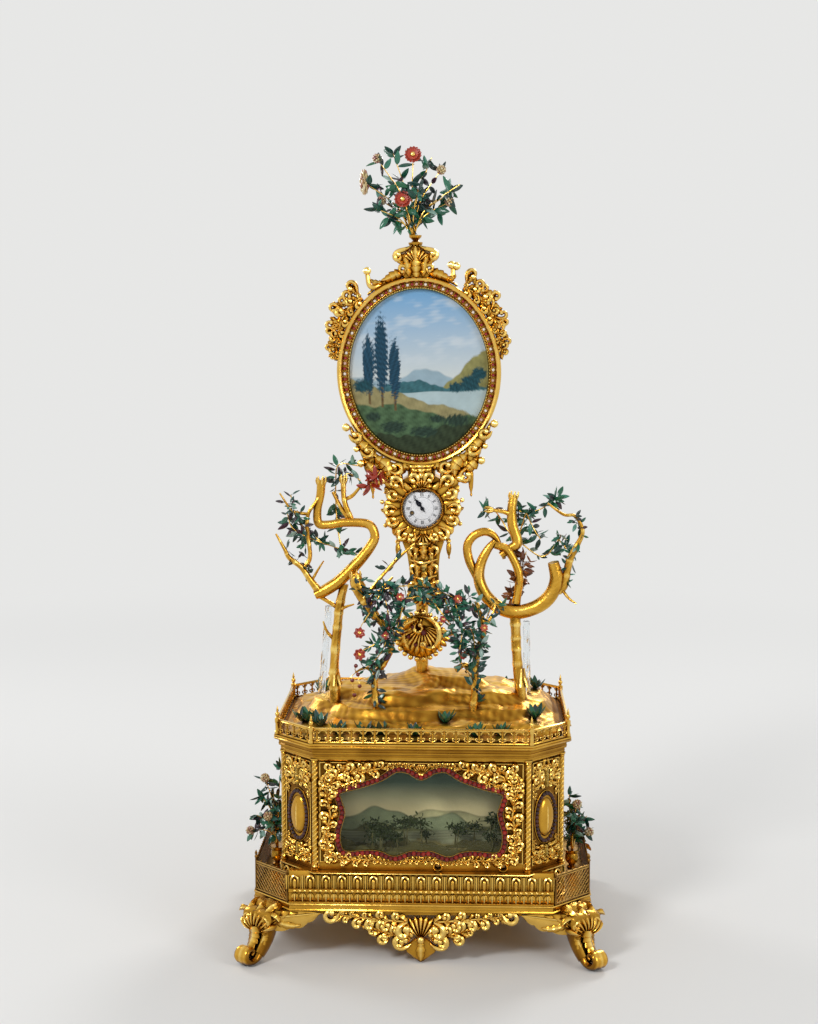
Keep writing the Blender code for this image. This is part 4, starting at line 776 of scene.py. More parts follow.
def foot_forms():
    """Cabriole leg whose ridged section runs down a bent route into a rolled toe, with a leafy cartouche
    on its knee."""
    turn = full_turn(32)
    wide = np.sign(np.sin(turn)) * np.abs(np.sin(turn)) ** 0.75
    deep = np.sign(np.cos(turn)) * np.abs(np.cos(turn)) ** 0.75 * (1 + 0.1 * np.cos(3 * pi * wide))
    ridged = np.stack([deep, wide], -1)
    route = flowing([(0, 2, 55), (0, -6, 50), (0, -12, 42), (0, -14.5, 34), (0, -16, 26), (0, -21, 17.5),
                     (0, -28, 9.5)], 7)
    leg = swept(route, [9, 12, 13, 12, 10.4, 9, 7.6], [19, 20, 19, 16, 13.6, 12.6, 11.6], ridged, (1, 0, 0))
    # Painted light and shade: the leg is lighter on its front and back ridges and darker on its flanks
    leg.tone = np.clip(0.4 + 1.4 * (np.tile(np.abs(deep), len(route)) - 0.85), 0.25, 0.9)
    curl = flowing([(0, -20, 19), (0, -27, 10.5), (0, -35, 5.2), (0, -43.4, 5.6), (0, -48.2, 11),
                    (0, -46, 17), (0, -40.4, 18.6), (0, -36.6, 15), (0, -39.6, 12)], 6)
    toe = swept(curl, [7.4, 6.4, 4.4, 3.8, 3.4, 3.2, 3, 2.6, 2.2],
                [11.6, 11, 10.6, 10.4, 10, 9.6, 9, 8.6, 8.2], ridged, (1, 0, 0))
    # Painted light and shade on the toe, as on the leg
    toe.tone = np.clip(0.5 + 1.4 * (np.tile(np.abs(deep), len(curl)) - 0.85), 0.3, 0.95)
    half = [(0, 57), (10, 57.4), (18, 55), (20.4, 48), (18, 41), (14, 36), (8, 32), (0, 29)]
    shield = slab(smooth_outline(two_halves(half), 4), -26.4, -14, 3.0, 0.45)
    forms = [leg, toe, shield, shell((0, 30), 28, 20, 160, 9, -20, 9, 0.2)]
    for x, wide_at in ((-11, 5), (0, 6), (11, 5)):
        spine = ((x, -25, 45), (x * 1.15, -20, 55), (x * 1.3, -11, 58.6), (x * 1.4, -3, 57))
        forms.append(draped_leaf(spine, wide_at, 4.4))
    forms.append(draped_leaf([(0, -27.5, 40), (0, -27, 31), (0, -29.5, 24), (0, -35.5, 16.5)], 8, 4.4))
    for side in (-1, 1):
        forms.append(draped_leaf([(side * 10, -22, 38), (side * 10, -21, 29), (side * 9, -24, 20)], 5, 4))
        forms += scroll((side * 8, 33), 90 - side * 70, 23, side * np.array([0, 20, 80, 170, 260]), 2.6,
                        -23.4, 4)
        forms += scroll((side * 17, 38), 90 - side * 4, 24, side * np.array([0, 6, 50, 140, 250]), 2.5,
                        -23, 4)
        forms.append(acanthus((side * 15, 52), 90 - side * 60, 16, side * np.array([0, -40, -90]), 3.6,
                              -19.4, 3, 4))
        forms.append(leaf_plate([(side * 16, 56), (side * 22, 52), (side * 23, 44)],
                                [(side * 12, 50), (side * 13, 44), (side * 13, 36)], 5, -17.4, 3.4))
    return forms


def wing_forms():
    """Broad scalloped leaf that runs from the foot along the rail; x is counted inwards from the knee."""
    broad = leaf_plate([(-8, 55.8), (16, 55.8), (42, 55.6), (64, 54.6)],
                       [(-8, 32), (8, 31), (26, 33.6), (42, 36.6), (54, 43), (64, 52.6)], 4, -0.6, 2.4)
    short = leaf_plate([(-8, 55.8), (10, 55.8), (26, 55.6), (40, 54.6)],
                       [(-8, 40), (4, 40), (20, 45), (40, 53)], 5, -1.6, 2.6)
    rib = flowing([(-6, 51), (14, 49.6), (36, 51), (62, 54)], 6)
    # Painted light: the broad leaf gets a high fixed tone, so that it reads bright where its slope is in
    # shade
    return [broad.toned(0.72), short, swept(upright(rib, -2.6), [1.6, 1.8, 1.2, 0.5], None, HALF),
            *scroll((-2, 38), -24, 30, [0, 20, 90, 180, 270], 2.4, -2.6, 3.4),
            acanthus((10, 46), -16, 34, [0, 0, 30], 4.6, -2.4, 5, 2.6)]


def feet():
    """One foot with its two wings, turned to face its corner, then mirrored to the other corners."""
    corner = (PLINTH_PLAN[0] - PLINTH_PLAN[2] / 2, -PLINTH_PLAN[1] + PLINTH_PLAN[2] / 2, 0)
    leg = together(foot_forms()).placed(turns_about_z(radians(36)), corner)
    wing = together(wing_forms())
    front_wing = wing.placed(scale=(-1, 1, 1), shift=(171, -129.5, 0))
    side_wing = wing.placed(turns_about_z(pi / 2), (179.5, -117, 0))
    whole = together([leg, front_wing, side_wing])
    for side_y, end in ((1, "front"), (-1, "back")):
        for side_x, hand_side in ((-1, "left"), (1, "right")):
            name = f"foot_{end}_{hand_side}"
            gold(f"cast_{name}", [whole.placed(scale=(side_x, side_y, 1))], (name,))


# Aprons: half of the openwork, mirrored, then drawn in to the length of its side
def apron_half():
    """Scrollwork from the middle of an apron out along its rail, in rows that thin out together."""
    forms = foliage([(14, 45), (40, 47), (66, 49.5), (92, 52)], ([9, 8, 6, 4], [14, 12, 9, 6]), -1.5, -1,
                    0.85, 0.27)
    forms += foliage([(11, 27), (24, 30), (42, 35), (60, 41)], ([10, 10, 9, 7], [10, 9, 8, 6]), -2.3, 1,
                     0.85, 0.27)
    forms += scroll((86, 56), -66, 34, [0, 10, 70, 160, 270], 2.9, -1.8, 3.6)
    forms += scroll((10, 22), -50, 40, [0, 30, 100, 190, 290], 3.1, -2.4, 4)
    forms += scroll((34, 27), -64, 24, [0, 30, 100, 190, 280], 2.6, -2.2, 3.6)
    return forms


def apron_forms():
    """Whole apron: rail, palmette over a shield, and both halves of the scrollwork."""
    rail = box((-APRON_HALF, -1.4, 52.6), (APRON_HALF, 2.4, 55.7), 0.5)
    palmette = shell((0, 26), 26, 40, 140, 7, -0.8, 4.6)
    half = [(0, 27), (8, 26), (14, 20), (16, 13), (9, 7), (5, 4), (0, 1)]
    shield = slab(smooth_outline(two_halves(half), 4), -3.6, 1.6, 1.6, 0.5)
    drop = [acanthus((0, 25), -90, 23, [0, 0], 5.4, -3.6, 4, 3.4), pearls([(0, -4, 26)], 4.4, 0.95)]
    return [rail, palmette, shield, *drop, *both(apron_half())]


def aprons():
    """The apron drawn in to each side's half length and turned to its side of the plinth."""
    whole = together(apron_forms())
    front_reach, side_reach, side_half = 128.5, 178.5, 53.5
    sides = (("front", APRON_HALF, 0, front_reach), ("back", APRON_HALF, pi, front_reach),
             ("left", side_half, -pi / 2, side_reach), ("right", side_half, pi / 2, side_reach))
    for name, half, turn, reach in sides:
        matrix = turns_about_z(turn)
        place = matrix @ np.array([0, -reach, 0])
        stretched = whole.placed(scale=(half / APRON_HALF, 1, 1))
        gold(f"cast_apron_{name}", [stretched.placed(matrix, place)], (f"apron_{name}",))


# Plinth trims: gadroons, beads and leaves, along the front and back bars and round the block
def plinth_trims():
    """Arches, tongues, ribs and beads over a row of leaves, set along the bars and round the block."""
    bend = flowing([(-3.6, 80), (-3.8, 86), (-3.5, 91.6), (0, 94.4), (3.5, 91.6), (3.8, 86), (3.6, 80)], 5)
    arch = swept(upright(bend, -0.8), [0.4, 0.9, 1.5, 1.1, 1.5, 0.9, 0.4],
                 [0.5, 1.2, 2.2, 1.6, 2.2, 1.2, 0.5], HALF)
    # Painted light: each arch is lighter towards its top and darker towards its feet
    arch.tone = np.clip(arch.tone * (arch.points[:, 2] - 76) / 15, 0.1, 1)
    tongue = swept(flowing([(0, -0.2, 92), (0, -1.5, 89), (0, -0.9, 84), (0, -0.2, 80)], 4),
                   [0.8, 2.0, 1.9, 1.2], [0.4, 1.4, 0.9, 0.4], HALF).toned(0.7)
    ribs = together(
        [swept([(x, -0.8, 95), (x, -1.4, 89), (x, -0.4, 80)], [thick, thick, thick * 0.6], profile=HALF)
         for x, thick in ((-8.4, 1.3), (-6.3, 0.6), (6.3, 0.6))]).toned(0.75)
    bead = PEARL.placed(scale=1.9, shift=(0, 0, 78)).toned(0.85)
    petal = leaflet(9.6, 7.4, 0.3, 7)
    turn_up = np.array([[0, 0, 1], [0, 1, 0], [-1, 0, 0]], float)
    leaf_row = petal.placed(turn_up, (0, 0.2, 75.2)).toned(0.75)
    spine = swept([(0, -1, 74.6), (0, -1.8, 70), (0, -1, 66.2)], [0.9, 0.8, 0.5]).toned(0.9)
    forms = []
    block = (152, 128, 38)
    block_sides = (0, 1, 2, 4, 5, 6)
    bar_half, bar_front = 139, 129.2
    gadroon = 16.8
    for form, pitch, out in ((arch, gadroon, 0.4), (tongue, gadroon, 0.4), (ribs, gadroon, 0.4),
                             (bead, gadroon / 3, 1.2), (leaf_row, gadroon / 2, 0.6),
                             (spine, gadroon / 2, 0.6)):
        reach = int(bar_half / pitch)
        x = np.arange(-reach, reach + 1) * pitch
        for side in (-1, 1):
            turn = np.eye(3) if side < 0 else np.diag([-1.0, -1.0, 1.0])
            places = np.column_stack([x, np.full(len(x), side * (bar_front + out)), np.zeros(len(x))])
            forms.append(copies(form, places, turn))
        forms.append(set_round(form, block, pitch, 0, 0.3 + out * 0.3, block_sides, 3))
    upper = moulding(block, [(0, 95.6), (1.2, 95.8), (1.5, 96.6), (1.2, 97.3), (0, 97.4)], 0.8)
    lower = moulding(block, [(-1, 64.2), (3, 64.2), (3, 65.4), (1.6, 66), (-1, 66)], 0.7)
    edge = moulding(PLINTH_PLAN, [(-1, 62.4), (0.6, 62.6), (0.9, 63.4), (0.3, 64.3), (-1, 64.4)], 0.7)
    foot_line = moulding(PLINTH_PLAN, [(-1, 56.2), (0.5, 56.3), (0.9, 57.4), (0.3, 58.6), (-1, 58.6)], 0.55)
    gold("plinth_trims", [*forms, upper, lower, edge, foot_line])


# Cabinet: rope columns, base and top mouldings, side frets
def rope(x, y, low, high, radius):
    """Twisted column: the radius swells three times round and turns with height."""
    turn = full_turn(24)[None]
    z = np.arange(low, high, 0.6)[:, None]
    r = radius * (1 + 0.18 * np.cos(3 * turn - z * tau / 5.4))
    rings = np.stack([x + r * np.cos(turn), y + r * np.sin(turn), np.broadcast_to(z, r.shape)], -1)
    # Painted light and shade: lighter on the twisted ridges, darker in the grooves
    return skin(rings, tone=0.5 + 2.2 * (r / radius - 1))


def cabinet_trims():
    """Rope columns between caps at the eight corners, fillets, strips and the rims of the key holes."""
    corners = octagon(CABINET_PLAN)
    columns = [rope(x, y, PLINTH_TOP + 5, CABINET_TOP - 5, 3.0) for x, y in corners]
    caps = turned([(0.1, 0), (4.6, 0), (4.6, 1.6), (3.2, 2.2), (4.0, 3.6), (3.2, 5), (0.1, 5)], 16)
    places = np.column_stack([corners, np.full(8, PLINTH_TOP + 0.3)])
    bases = copies(caps, places)
    tops = copies(caps.placed(scale=(1, 1, -1)), places + (0, 0, CABINET_TOP - PLINTH_TOP - 0.4))
    foot_line = moulding(CABINET_PLAN, [(-1, 97.8), (1.2, 97.8), (1.2, 98.6), (-1, 98.9)], 0.7)
    head_line = moulding(CABINET_PLAN, [(-1, 216.4), (0.8, 216.4), (2.2, 218), (2.2, 219.3), (-1, 219.3)],
                         0.7)
    strips = []
    for y in (-118.6, 118.6):
        for x in (-112.4, -109.6, 109.6, 112.4):
            strips.append(swept([(x, y, 99), (x, y, 216)], 0.7, 0.9, facing=(0, y, 0)))
    bosses = [ring(round_section(0.6), (4.4, 4.4), (x, -120.4, 102.4), 28, 0.6) for x in KEY_HOLES]
    gold("cabinet_trims",
         [*columns, bases.toned(0.7), tops.toned(0.7), foot_line, head_line, *strips, *bosses])


def side_frets():
    """Openwork in the three ovals of each side wall: a moulded rim, a rosette and four C-scrolls."""
    forms = []
    for y in (-50, 0, 50):
        shapes = [ring(round_section(1.5), (19.4, 40.4), (0, 0, WINDOW_MIDDLE), 48, 0.8)]
        half = both(foliage([(3, 165), (8, 177), (6, 190), (3, 198)], [9, 9, 7, 5], 0.5))
        shapes += half + [form.placed(scale=(1, 1, -1), shift=(0, 0, 2 * WINDOW_MIDDLE)) for form in half]
        petals, button = flower((0, -0.5, WINDOW_MIDDLE), 8, FRONT)
        shapes += petals + [button]
        forms.append(together(shapes).placed(shift=(y, 0, 0)))
    for half_x, half_z, thick in ((79, 54, 1.3), (75.6, 50.6, 0.7)):
        low, high = WINDOW_MIDDLE - half_z, WINDOW_MIDDLE + half_z
        corners = [(-half_x, low), (half_x, low), (half_x, high), (-half_x, high)]
        for start, end in zip(corners, corners[1:] + corners[:1]):
            forms.append(swept(upright([start, end], -0.2), thick, thick, HALF))
    panel = together(forms)
    for side in (-1, 1):
        turn = turns_about_z(side * pi / 2)
        gold(f"side_fret_{'left' if side < 0 else 'right'}",
             [panel.placed(turn, turn @ np.array([0, -CABINET_PLAN[0] - 0.6, 0]))])


# Window: right half of the cartouche outline that the scrollwork, the stones and their rims share
CARTOUCHE_HALF = [(0, 200.5), (7, 203.5), (14, 207.5), (27, 208.5), (43, 199), (65, 191), (88, 184),
                  (87, 172), (84, 160), (89, 139), (87, 122), (79, 116), (56, 117.5), (43, 116),
                  (34, 112), (25, 111.5), (10, 117), (0, 116.5)]


def pushed(outline, distance):
    """Closed clockwise outline moved out along the normal of its central difference."""
    along = unit(np.roll(outline, -1, 0) - np.roll(outline, 1, 0))
    return outline + distance * np.stack([-along[:, 1], along[:, 0]], -1)


def window_forms():
    """Plate with the cartouche opening, and scrollwork between it and the plate's edge."""
    line = smooth_outline(two_halves(CARTOUCHE_HALF), 5)
    middle, count = (0, WINDOW_MIDDLE), 240
    edge = boxed((0, WINDOW_MIDDLE + 1), (108.6, 54.8), count)
    # Painted shade: the plate behind the scrollwork has a low tone, so it reads dark
    plate = band(edge, polar(pushed(line, 2.0), middle, count), -119.6, -118.5, 0.1)
    inner = polar(pushed(line, 3.2), middle, count)
    outer = boxed(middle, (106.8, 54.2), count)
    right_half = slice(count // 4, 3 * count // 4 + 1, 5)
    inner, outer = inner[right_half], outer[right_half]
    width = np.hypot(*(outer - inner).T)
    reach = np.clip(0.5 * width, 2.6, 9.5)
    forms = foliage((inner + outer) / 2, reach, -120.2, 1, 0.9)
    forms += foliage([(52, 208), (70, 209), (88, 207), (101, 204), (102, 190), (101, 176)],
                     [4, 5.5, 7, 8, 6.5, 5], -120.6, -1, 0.9)
    forms += foliage([(66, 197), (80, 192), (93, 186)], [5, 6, 5.5], -120.8, 1, 0.9)
    forms += foliage([(102, 146), (101, 126), (98, 114), (84, 111)], [4.5, 5, 5, 4], -120.6, -1, 0.9)
    crest = [shell((0, 204), 11, 30, 150, 7, -120, 3.4)]
    edges = [swept(upright([(x, 106.4), (x, 215.4)], -119.8), 0.8, 1.1, HALF) for x in (-107.6, 107.6)]
    edges += [swept(upright([(-107.6, z), (107.6, z)], -119.8), 0.7, 1.0, HALF) for z in (106.8, 215.2)]
    return line, [plate, *edges, *crest, *both(forms)]


STONE = turned([(0.05, -0.5), (0.9, -0.4), (1.0, 0.1), (0.62, 0.62), (0.05, 0.66)], 8)
FACE_FRONT = np.array([[1, 0, 0], [0, 0, -1], [0, 1, 0]], float)


def set_stones(line, y, radius, pitch, chance):
    """Cut stones along a closed (x, z) line, facing forward."""
    places = stations(line, pitch, True)
    tones = chance.uniform(0.25, 1.0, len(places))
    return copies(STONE, upright(places, y), FACE_FRONT, radius, tones=tones)


def window():
    """Scrollwork plate, and the row of red stones in its bed between two gilt rims."""
    line, forms = window_forms()
    gold("window_scrollwork", forms, ("window_frame",))
    chance = np.random.default_rng(4)
    half = 2.8
    bed = band(pushed(line, half), pushed(line, -half), -121.4, -118.8, 0.12)
    piece("window_red_stones", [set_stones(line, -122, 2.6, 5.2, chance), bed.toned(0.05)], RED_STONE,
          "red_stone", ("window_stone_border",))
    rims = [band(pushed(line, outer), pushed(line, outer - 0.4), -121.8, -119, 0.5)
            for outer in (half + 0.4, -half)]
    gold("window_stone_rims", rims)


def shade(base, light, amount):
    """Blend of two colours by an amount at each point."""
    return base[None] * (1 - amount[:, None]) + light[None] * amount[:, None]


def hills(x, seed, height, scale):
    """Soft skyline: three sines of x with phases from the seed."""
    return height * (np.sin(x / scale + seed) + 0.5 * np.sin(2.3 * x / scale + 2 * seed)
                     + 0.25 * np.sin(5.1 * x / scale + 3 * seed))


def flecks(x, z, seed):
    """Cheap smooth noise: a sum of turned sine waves."""
    total = 0
    for k in range(1, 7):
        turn = seed + 2.4 * k
        total = total + np.sin((x * np.cos(turn) + z * np.sin(turn)) * 0.11 * 1.55 ** k
                               + turn * 3) / 1.3 ** k
    return total / 3


def scenery_paint(x, z):
    """Hazy valley: a sky pale at the horizon and darker above, three ridges, a lake and a near shore, each
    laid on where a point is under its skyline, then painted shade darkens it all towards the top and the
    sides."""
    sky = shade(np.array([0.82, 0.72, 0.38]), np.array([0.16, 0.24, 0.16]), np.clip((z - 152) / 30, 0, 1))
    colour = sky * (1 + 0.08 * flecks(x, z, 1.0))[:, None]
    peaks = 18 * np.exp(-((x + 58) / 24) ** 2) + 9 * np.exp(-((x - 30) / 22) ** 2)
    ridges = ((145, 6, 34, 0.4, 0, (0.44, 0.42, 0.21)), (139, 5, 24, 2.2, 1, (0.24, 0.28, 0.15)),
              (132, 4, 19, 4.0, 0, (0.20, 0.21, 0.085)))
    for level, height, scale, seed, peaked, tint in ridges:
        skyline = level + hills(x, seed, height, scale) + peaked * peaks
        inside = np.clip((skyline - z) / 1.6, 0, 1)[:, None]
        haze = np.clip((skyline - z) / 20, 0, 1)
        body = shade(np.array(tint), np.array(tint) * 1.7, haze) * (1 + 0.3 * flecks(x, z, seed))[:, None]
        body = body * (1 - 0.5 * np.exp(-((skyline - z) / 1.8) ** 2))[:, None]
        colour = colour * (1 - inside) + body * inside
    lake = np.clip((128 + 1.5 * np.sin(x / 30) - z) / 1.0, 0, 1)[:, None]
    water = np.array([0.44, 0.46, 0.27])[None] * (0.85 + 0.2 * np.sin(z * 2.1 + np.sin(x / 7)))[:, None]
    colour = colour * (1 - lake) + water * lake
    shore = np.clip((115 + hills(x, 1.0, 3, 17) - z) / 1.0, 0, 1)[:, None]
    land = np.array([0.26, 0.22, 0.08])[None] * (1 + 0.5 * flecks(x * 2, z * 2, 5.0))[:, None]
    # Painted shade: the backdrop darkens towards its top and its sides
    painted_shade = 1 - 0.5 * np.clip((z - 160) / 30, 0, 1) ** 1.2 - 0.4 * np.clip((np.abs(x) - 70) / 30, 0, 1)
    return np.clip((colour * (1 - shore) + land * shore) * painted_shade[:, None], 0.01, 0.95)


def window_scene():
    """Backdrop as a fine grid bent forward into a floor, and rows of cut-out banks with small trees."""
    x, v = np.meshgrid(np.linspace(-103.5, 103.5, 200), np.linspace(0, 1, 110), indexing="ij")
    floor_share = 0.12
    depth = np.where(v < floor_share, -74 - 41.2 * (1 - v / floor_share), -74.5)
    z = np.where(v < floor_share, 106.6 + 12 * (v / floor_share) ** 3, 106.4 + v * 107)
    front = np.stack([x, depth, z], -1)
    rings = np.concatenate([front, (front + (0, 1.6, -0.2))[:, ::-1]], 1)
    form = skin(rings)
    paint = scenery_paint(form.points[:, 0], form.points[:, 2])
    piece("painted_backdrop", [form], PICTURE, "picture", ("scene_backdrop",), paint=paint)
    chance = np.random.default_rng(12)
    banks, leaves = [], []
    bank_half, ground = 92, 107.2
    for y, level, seed in ((-99, 113, 0.3), (-92, 116, 1.9), (-84, 118, 3.1)):
        xs = np.linspace(-bank_half, bank_half, 90)
        tops = level + hills(xs, seed, 3.2, 13) + 5 * np.exp(-((np.abs(xs) - bank_half) / 16) ** 2)
        outline = np.vstack([np.column_stack([xs, tops]), [(bank_half, ground), (-bank_half, ground)]])
        banks.append(skin(np.stack([upright(outline, y), upright(outline, y + 0.9)])))
        for foot in chance.uniform(-84, 84, 6):
            base = np.interp(foot, xs, tops) - 1
            tall = chance.uniform(8, 29)
            stem = flowing([(foot, y - 0.4, base),
                            (foot + chance.uniform(-2, 2), y - 0.5, base + tall * 0.5),
                            (foot + chance.uniform(-4, 4), y - 0.4, base + tall)], 4)
            banks.append(swept(stem, [0.9, 0.5]))
            count = 42
            crown = stem[-1] + chance.normal(size=(count, 3)) * (tall * 0.26, 1.0, tall * 0.17)
            leaves.append(
                copies(LEAFLET, crown, random_turns(count, chance), chance.uniform(3, 5.5, count)))
            way = unit(crown - stem[-1])
            face = unit(np.cross(way, (0, 0, 1)) + 1e-3)
            far = np.linalg.norm(crown - stem[-1], axis=1) + 0.4
            sizes = np.column_stack([far, np.full((count, 2), 0.22)])
            twig_turns = np.stack([way, face, np.cross(way, face)], -1)
            leaves.append(copies(STALK, np.tile(stem[-1], (count, 1)), twig_turns, sizes))
    whole = together(banks + leaves)
    split = sum(len(form.points) for form in banks)
    paint = np.empty((len(whole.points), 3))
    grain = flecks(whole.points[:split, 0] * 3, whole.points[:split, 2] * 3, 2.0)
    paint[:split] = np.array([0.15, 0.14, 0.055]) * (1 + 0.5 * grain)[:, None]
    paint[split:] = np.array([0.032, 0.043, 0.015]) * chance.uniform(0.5, 2.2, (len(paint) - split, 1))
    piece("cut_out_banks", [whole], SCENERY, "scenery", ("scene_trees",), paint=np.clip(paint, 0.005, 0.9))


# Chamfer panels: oval medallion with dark stones, florals above and below
def panel_forms(chance):
    """Pierced panel: scrollwork above and below an oval boss in a ring of stones."""
    middle = 153
    centre, count = (0, 159), 96
    opening = polar(on_oval(full_turn(60), 14, 24, middle), centre, count)
    # Painted shade: the back plate behind the scrollwork has a low tone
    back = band(boxed(centre, (21.3, 56.8), count), opening, -1.0, -0.3, 0.2)
    turn = full_turn(64)
    steps = ((16.2, -0.3), (16.2, -1.6), (13.4, -2.2), (12.2, -1.8), (11.4, -3.2), (8.4, -4.8), (0.4, -5.4))
    boss = skin(np.stack([upright(on_oval(turn, half, 1.74 * half, middle), y) for half, y in steps]),
                tone=0.52)
    forms = [back, boss, ring(round_section(0.8), (17, 29), (0, -1.4, middle), 56, 0.5)]
    edge = 20.2
    for ends in ([(-edge, 103), (-edge, 215)], [(edge, 103), (edge, 215)], [(-edge, 103.4), (edge, 103.4)],
                 [(-edge, 214.6), (edge, 214.6)]):
        forms.append(swept(upright(ends, -1.2), 0.9, 1.2, HALF))
    quarter = foliage([(3, 190), (9, 193), (12, 200), (8, 208), (2, 211)], [6, 7.4, 7.8, 6.6, 5], -1.5,
                      -1, 0.8, 0.27)
    quarter += foliage([(17.6, 175), (17.2, 186), (16.6, 196), (15, 209)], [2.4, 4, 5, 4.6], -1.3, 1, 0.95)
    quarter.append(acanthus((0, 186), 90, 24, [0, 0], 5.4, -2.4, 5, 4))
    half = both(quarter)
    forms += half + [form.placed(scale=(1, 1, -0.7), shift=(0, 0, 253.5)) for form in half]
    forms.append(acanthus((0, middle - 14), 90, 28, [0, 0], 3.2, -4.6, 5, 1.4))
    line = on_oval(turn, 14.7, 26, middle)[::-1]
    return forms, set_stones(line, -2.6, 2.3, 4.3, chance)


def corner_panels():
    """The panel and its stones turned to each cut corner of the cabinet."""
    forms, stones = panel_forms(np.random.default_rng(6))
    reach = CABINET_PLAN[2] / 2
    spots = [("front_right", pi / 4, 1, -1), ("back_right", 3 * pi / 4, 1, 1),
             ("back_left", 5 * pi / 4, -1, 1), ("front_left", 7 * pi / 4, -1, -1)]
    for name, turn, side_x, side_y in spots:
        place = (side_x * (CABINET_PLAN[0] - reach), side_y * (CABINET_PLAN[1] - reach), 0)
        matrix = turns_about_z(turn)
        gold(f"medallion_panel_{name}", [together(forms).placed(matrix, place)], (f"corner_panel_{name}",))
        piece(f"medallion_stones_{name}", [stones.placed(matrix, place)], DARK_STONE, "red_stone")


# Cornice trims and galleries
def cornice_trims():
    """Rolled fillets on the cornice's two steps, and the lip of the deck."""
    steps = [moulding(CABINET_PLAN, [(out - 1, z), (out + 0.4, z), (out + 0.6, z + 0.6),
                                     (out + 0.2, z + 1.2), (out - 1, z + 1.2)], 0.5)
             for out, z in ((3.2, 221.4), (5.4, 226.4))]
    lip = moulding(GALLERY_PLAN, [(1, 232.4), (2.4, 232.6), (2.9, 233.6), (2.2, 234.6), (2.8, 235.6),
                                  (2.4, 236.9), (1, 237)], 0.62)
    gold("cornice_trims", [*steps, lip])


def gallery():
    """Every baluster turned and waisted, small arches between them, rails and spire finials."""
    low = 237.4
    waist = turned([(0.05, 1.4), (1.6, 1.4), (1.6, 2.8), (0.85, 3.6), (1.5, 6.2), (0.8, 9), (1.5, 10.8),
                    (0.9, 11.6), (1.9, 14), (0.05, 14)], 8, (0, 0, low))
    cross = swept([(-3.1, 0, low + 11.6), (3.1, 0, low + 11.6)], 0.6)
    baluster = together([waist, cross, *both(scroll((0, low + 3.0), -10, 7.5, [0, 60, 230], 0.6, 0, 0.7))])
    arch_turn = np.linspace(0, pi, 9)
    pitch, inset = 12.3, 1.1
    arch = swept(upright(on_oval(arch_turn, 4.4, 3.8, low + 10) + (pitch / 2, 0)), 0.55)
    forms = [set_round(form, GALLERY_PLAN, pitch, 0, -inset) for form in (baluster, arch)]
    rails = [moulding(GALLERY_PLAN, [(-2.1, 251.2), (0.1, 251.2), (0.4, 251.9), (-0.1, 252.6),
                                     (0.2, 253.3), (-0.6, 253.8), (-1.9, 253.8), (-2.1, 252.6)], 0.85),
             moulding(GALLERY_PLAN, [(-2.2, low), (0.3, low), (0.3, low + 0.8), (-0.2, low + 1.7),
                                     (-2.0, low + 1.7)], 0.7)]
    spire = turned([(0.05, 0), (3.1, 0), (3.1, 2.6), (2.3, 3.4), (2.3, 11.6), (2.9, 12.4), (3.0, 16.8),
                    (1.9, 17.6), (1.3, 18.6), (2.0, 19.6), (2.6, 21.4), (1.9, 23.2), (1.0, 24.0),
                    (1.5, 25.2), (0.9, 27.4), (0.05, 31)], 14, (0, 0, low))
    places = np.column_stack([octagon(GALLERY_PLAN, inset), np.zeros(8)])
    gold("balustrade", [*forms, *rails, copies(spire, places).toned(0.75)], ("gallery",))


def fence(side):
    """Lattice of crossed flat wires between two rails, with posts and spikes."""
    low, high = 64.3, 98.0
    line = octagon(PLINTH_PLAN, 1.7)[:4]
    slope = unit(line[1] - line[0])
    line[0] += slope * 5
    line[3] += (slope[0] * 5, -slope[1] * 5)
    forms = []
    for start, end in zip(line, line[1:]):
        run = end - start
        length = np.hypot(*run)
        along = np.array([*run / length, 0])
        normal = np.array([along[1], -along[0], 0])
        tall = high - low - 5
        pitch = length / round(length / 5.2)
        for way in (-1, 1):
            starts = np.arange(-tall / 2, length + tall / 2, pitch) + pitch / 2
            first, last = starts - way * tall / 2, starts + way * tall / 2
            share_low, share_high = (np.clip((edge - first) / (last - first), 0, 1)
                                     for edge in (0, length)[::way])
            for a, b, s, e in zip(first, last, share_low, share_high):
                if e - s < 0.06:
                    continue
                foot = np.array([*start, low + 2.5]) + normal * 0.25 * way
                ends = [foot + along * (a + (b - a) * t) + (0, 0, tall * t) for t in (s, e)]
                forms.append(swept(ends, 0.42, 0.3, round_section(1, 4), facing=normal))
        for z, thick in ((low + 1.6, 1.0), (high - 3.4, 0.9), (high - 1.2, 0.9)):
            forms.append(swept([(*start, z), (*end, z)], thick, facing=normal))
        spikes = stations([(*start, 0), (*end, 0)], 7.5)
        spike = turned([(0.05, 0), (0.8, 0.4), (0.9, 1.2), (0.3, 1.9), (0.05, 2.3)], 6, (0, 0, high - 0.6))
        forms.append(copies(spike, spikes))
    for point, top in zip(line, (100.3, 109.3, 109.3, 100.3)):
        tall = top - low
        forms.append(turned([(0.05, 0), (1.7, 0), (1.7, 2), (1.2, 3), (1.2, tall - 9), (1.8, tall - 8.2),
                             (1.5, tall - 6.6), (0.8, tall - 5.8), (1.6, tall - 4), (1.1, tall - 2.2),
                             (0.05, tall)], 10, (*point, low)))
    whole = together(forms)
    name = "right" if side > 0 else "left"
    piece(f"lattice_fence_{name}", [whole if side > 0 else whole.flipped()], DARK_GILT, "flat_gilt",
          (f"lower_gallery_{name}",))


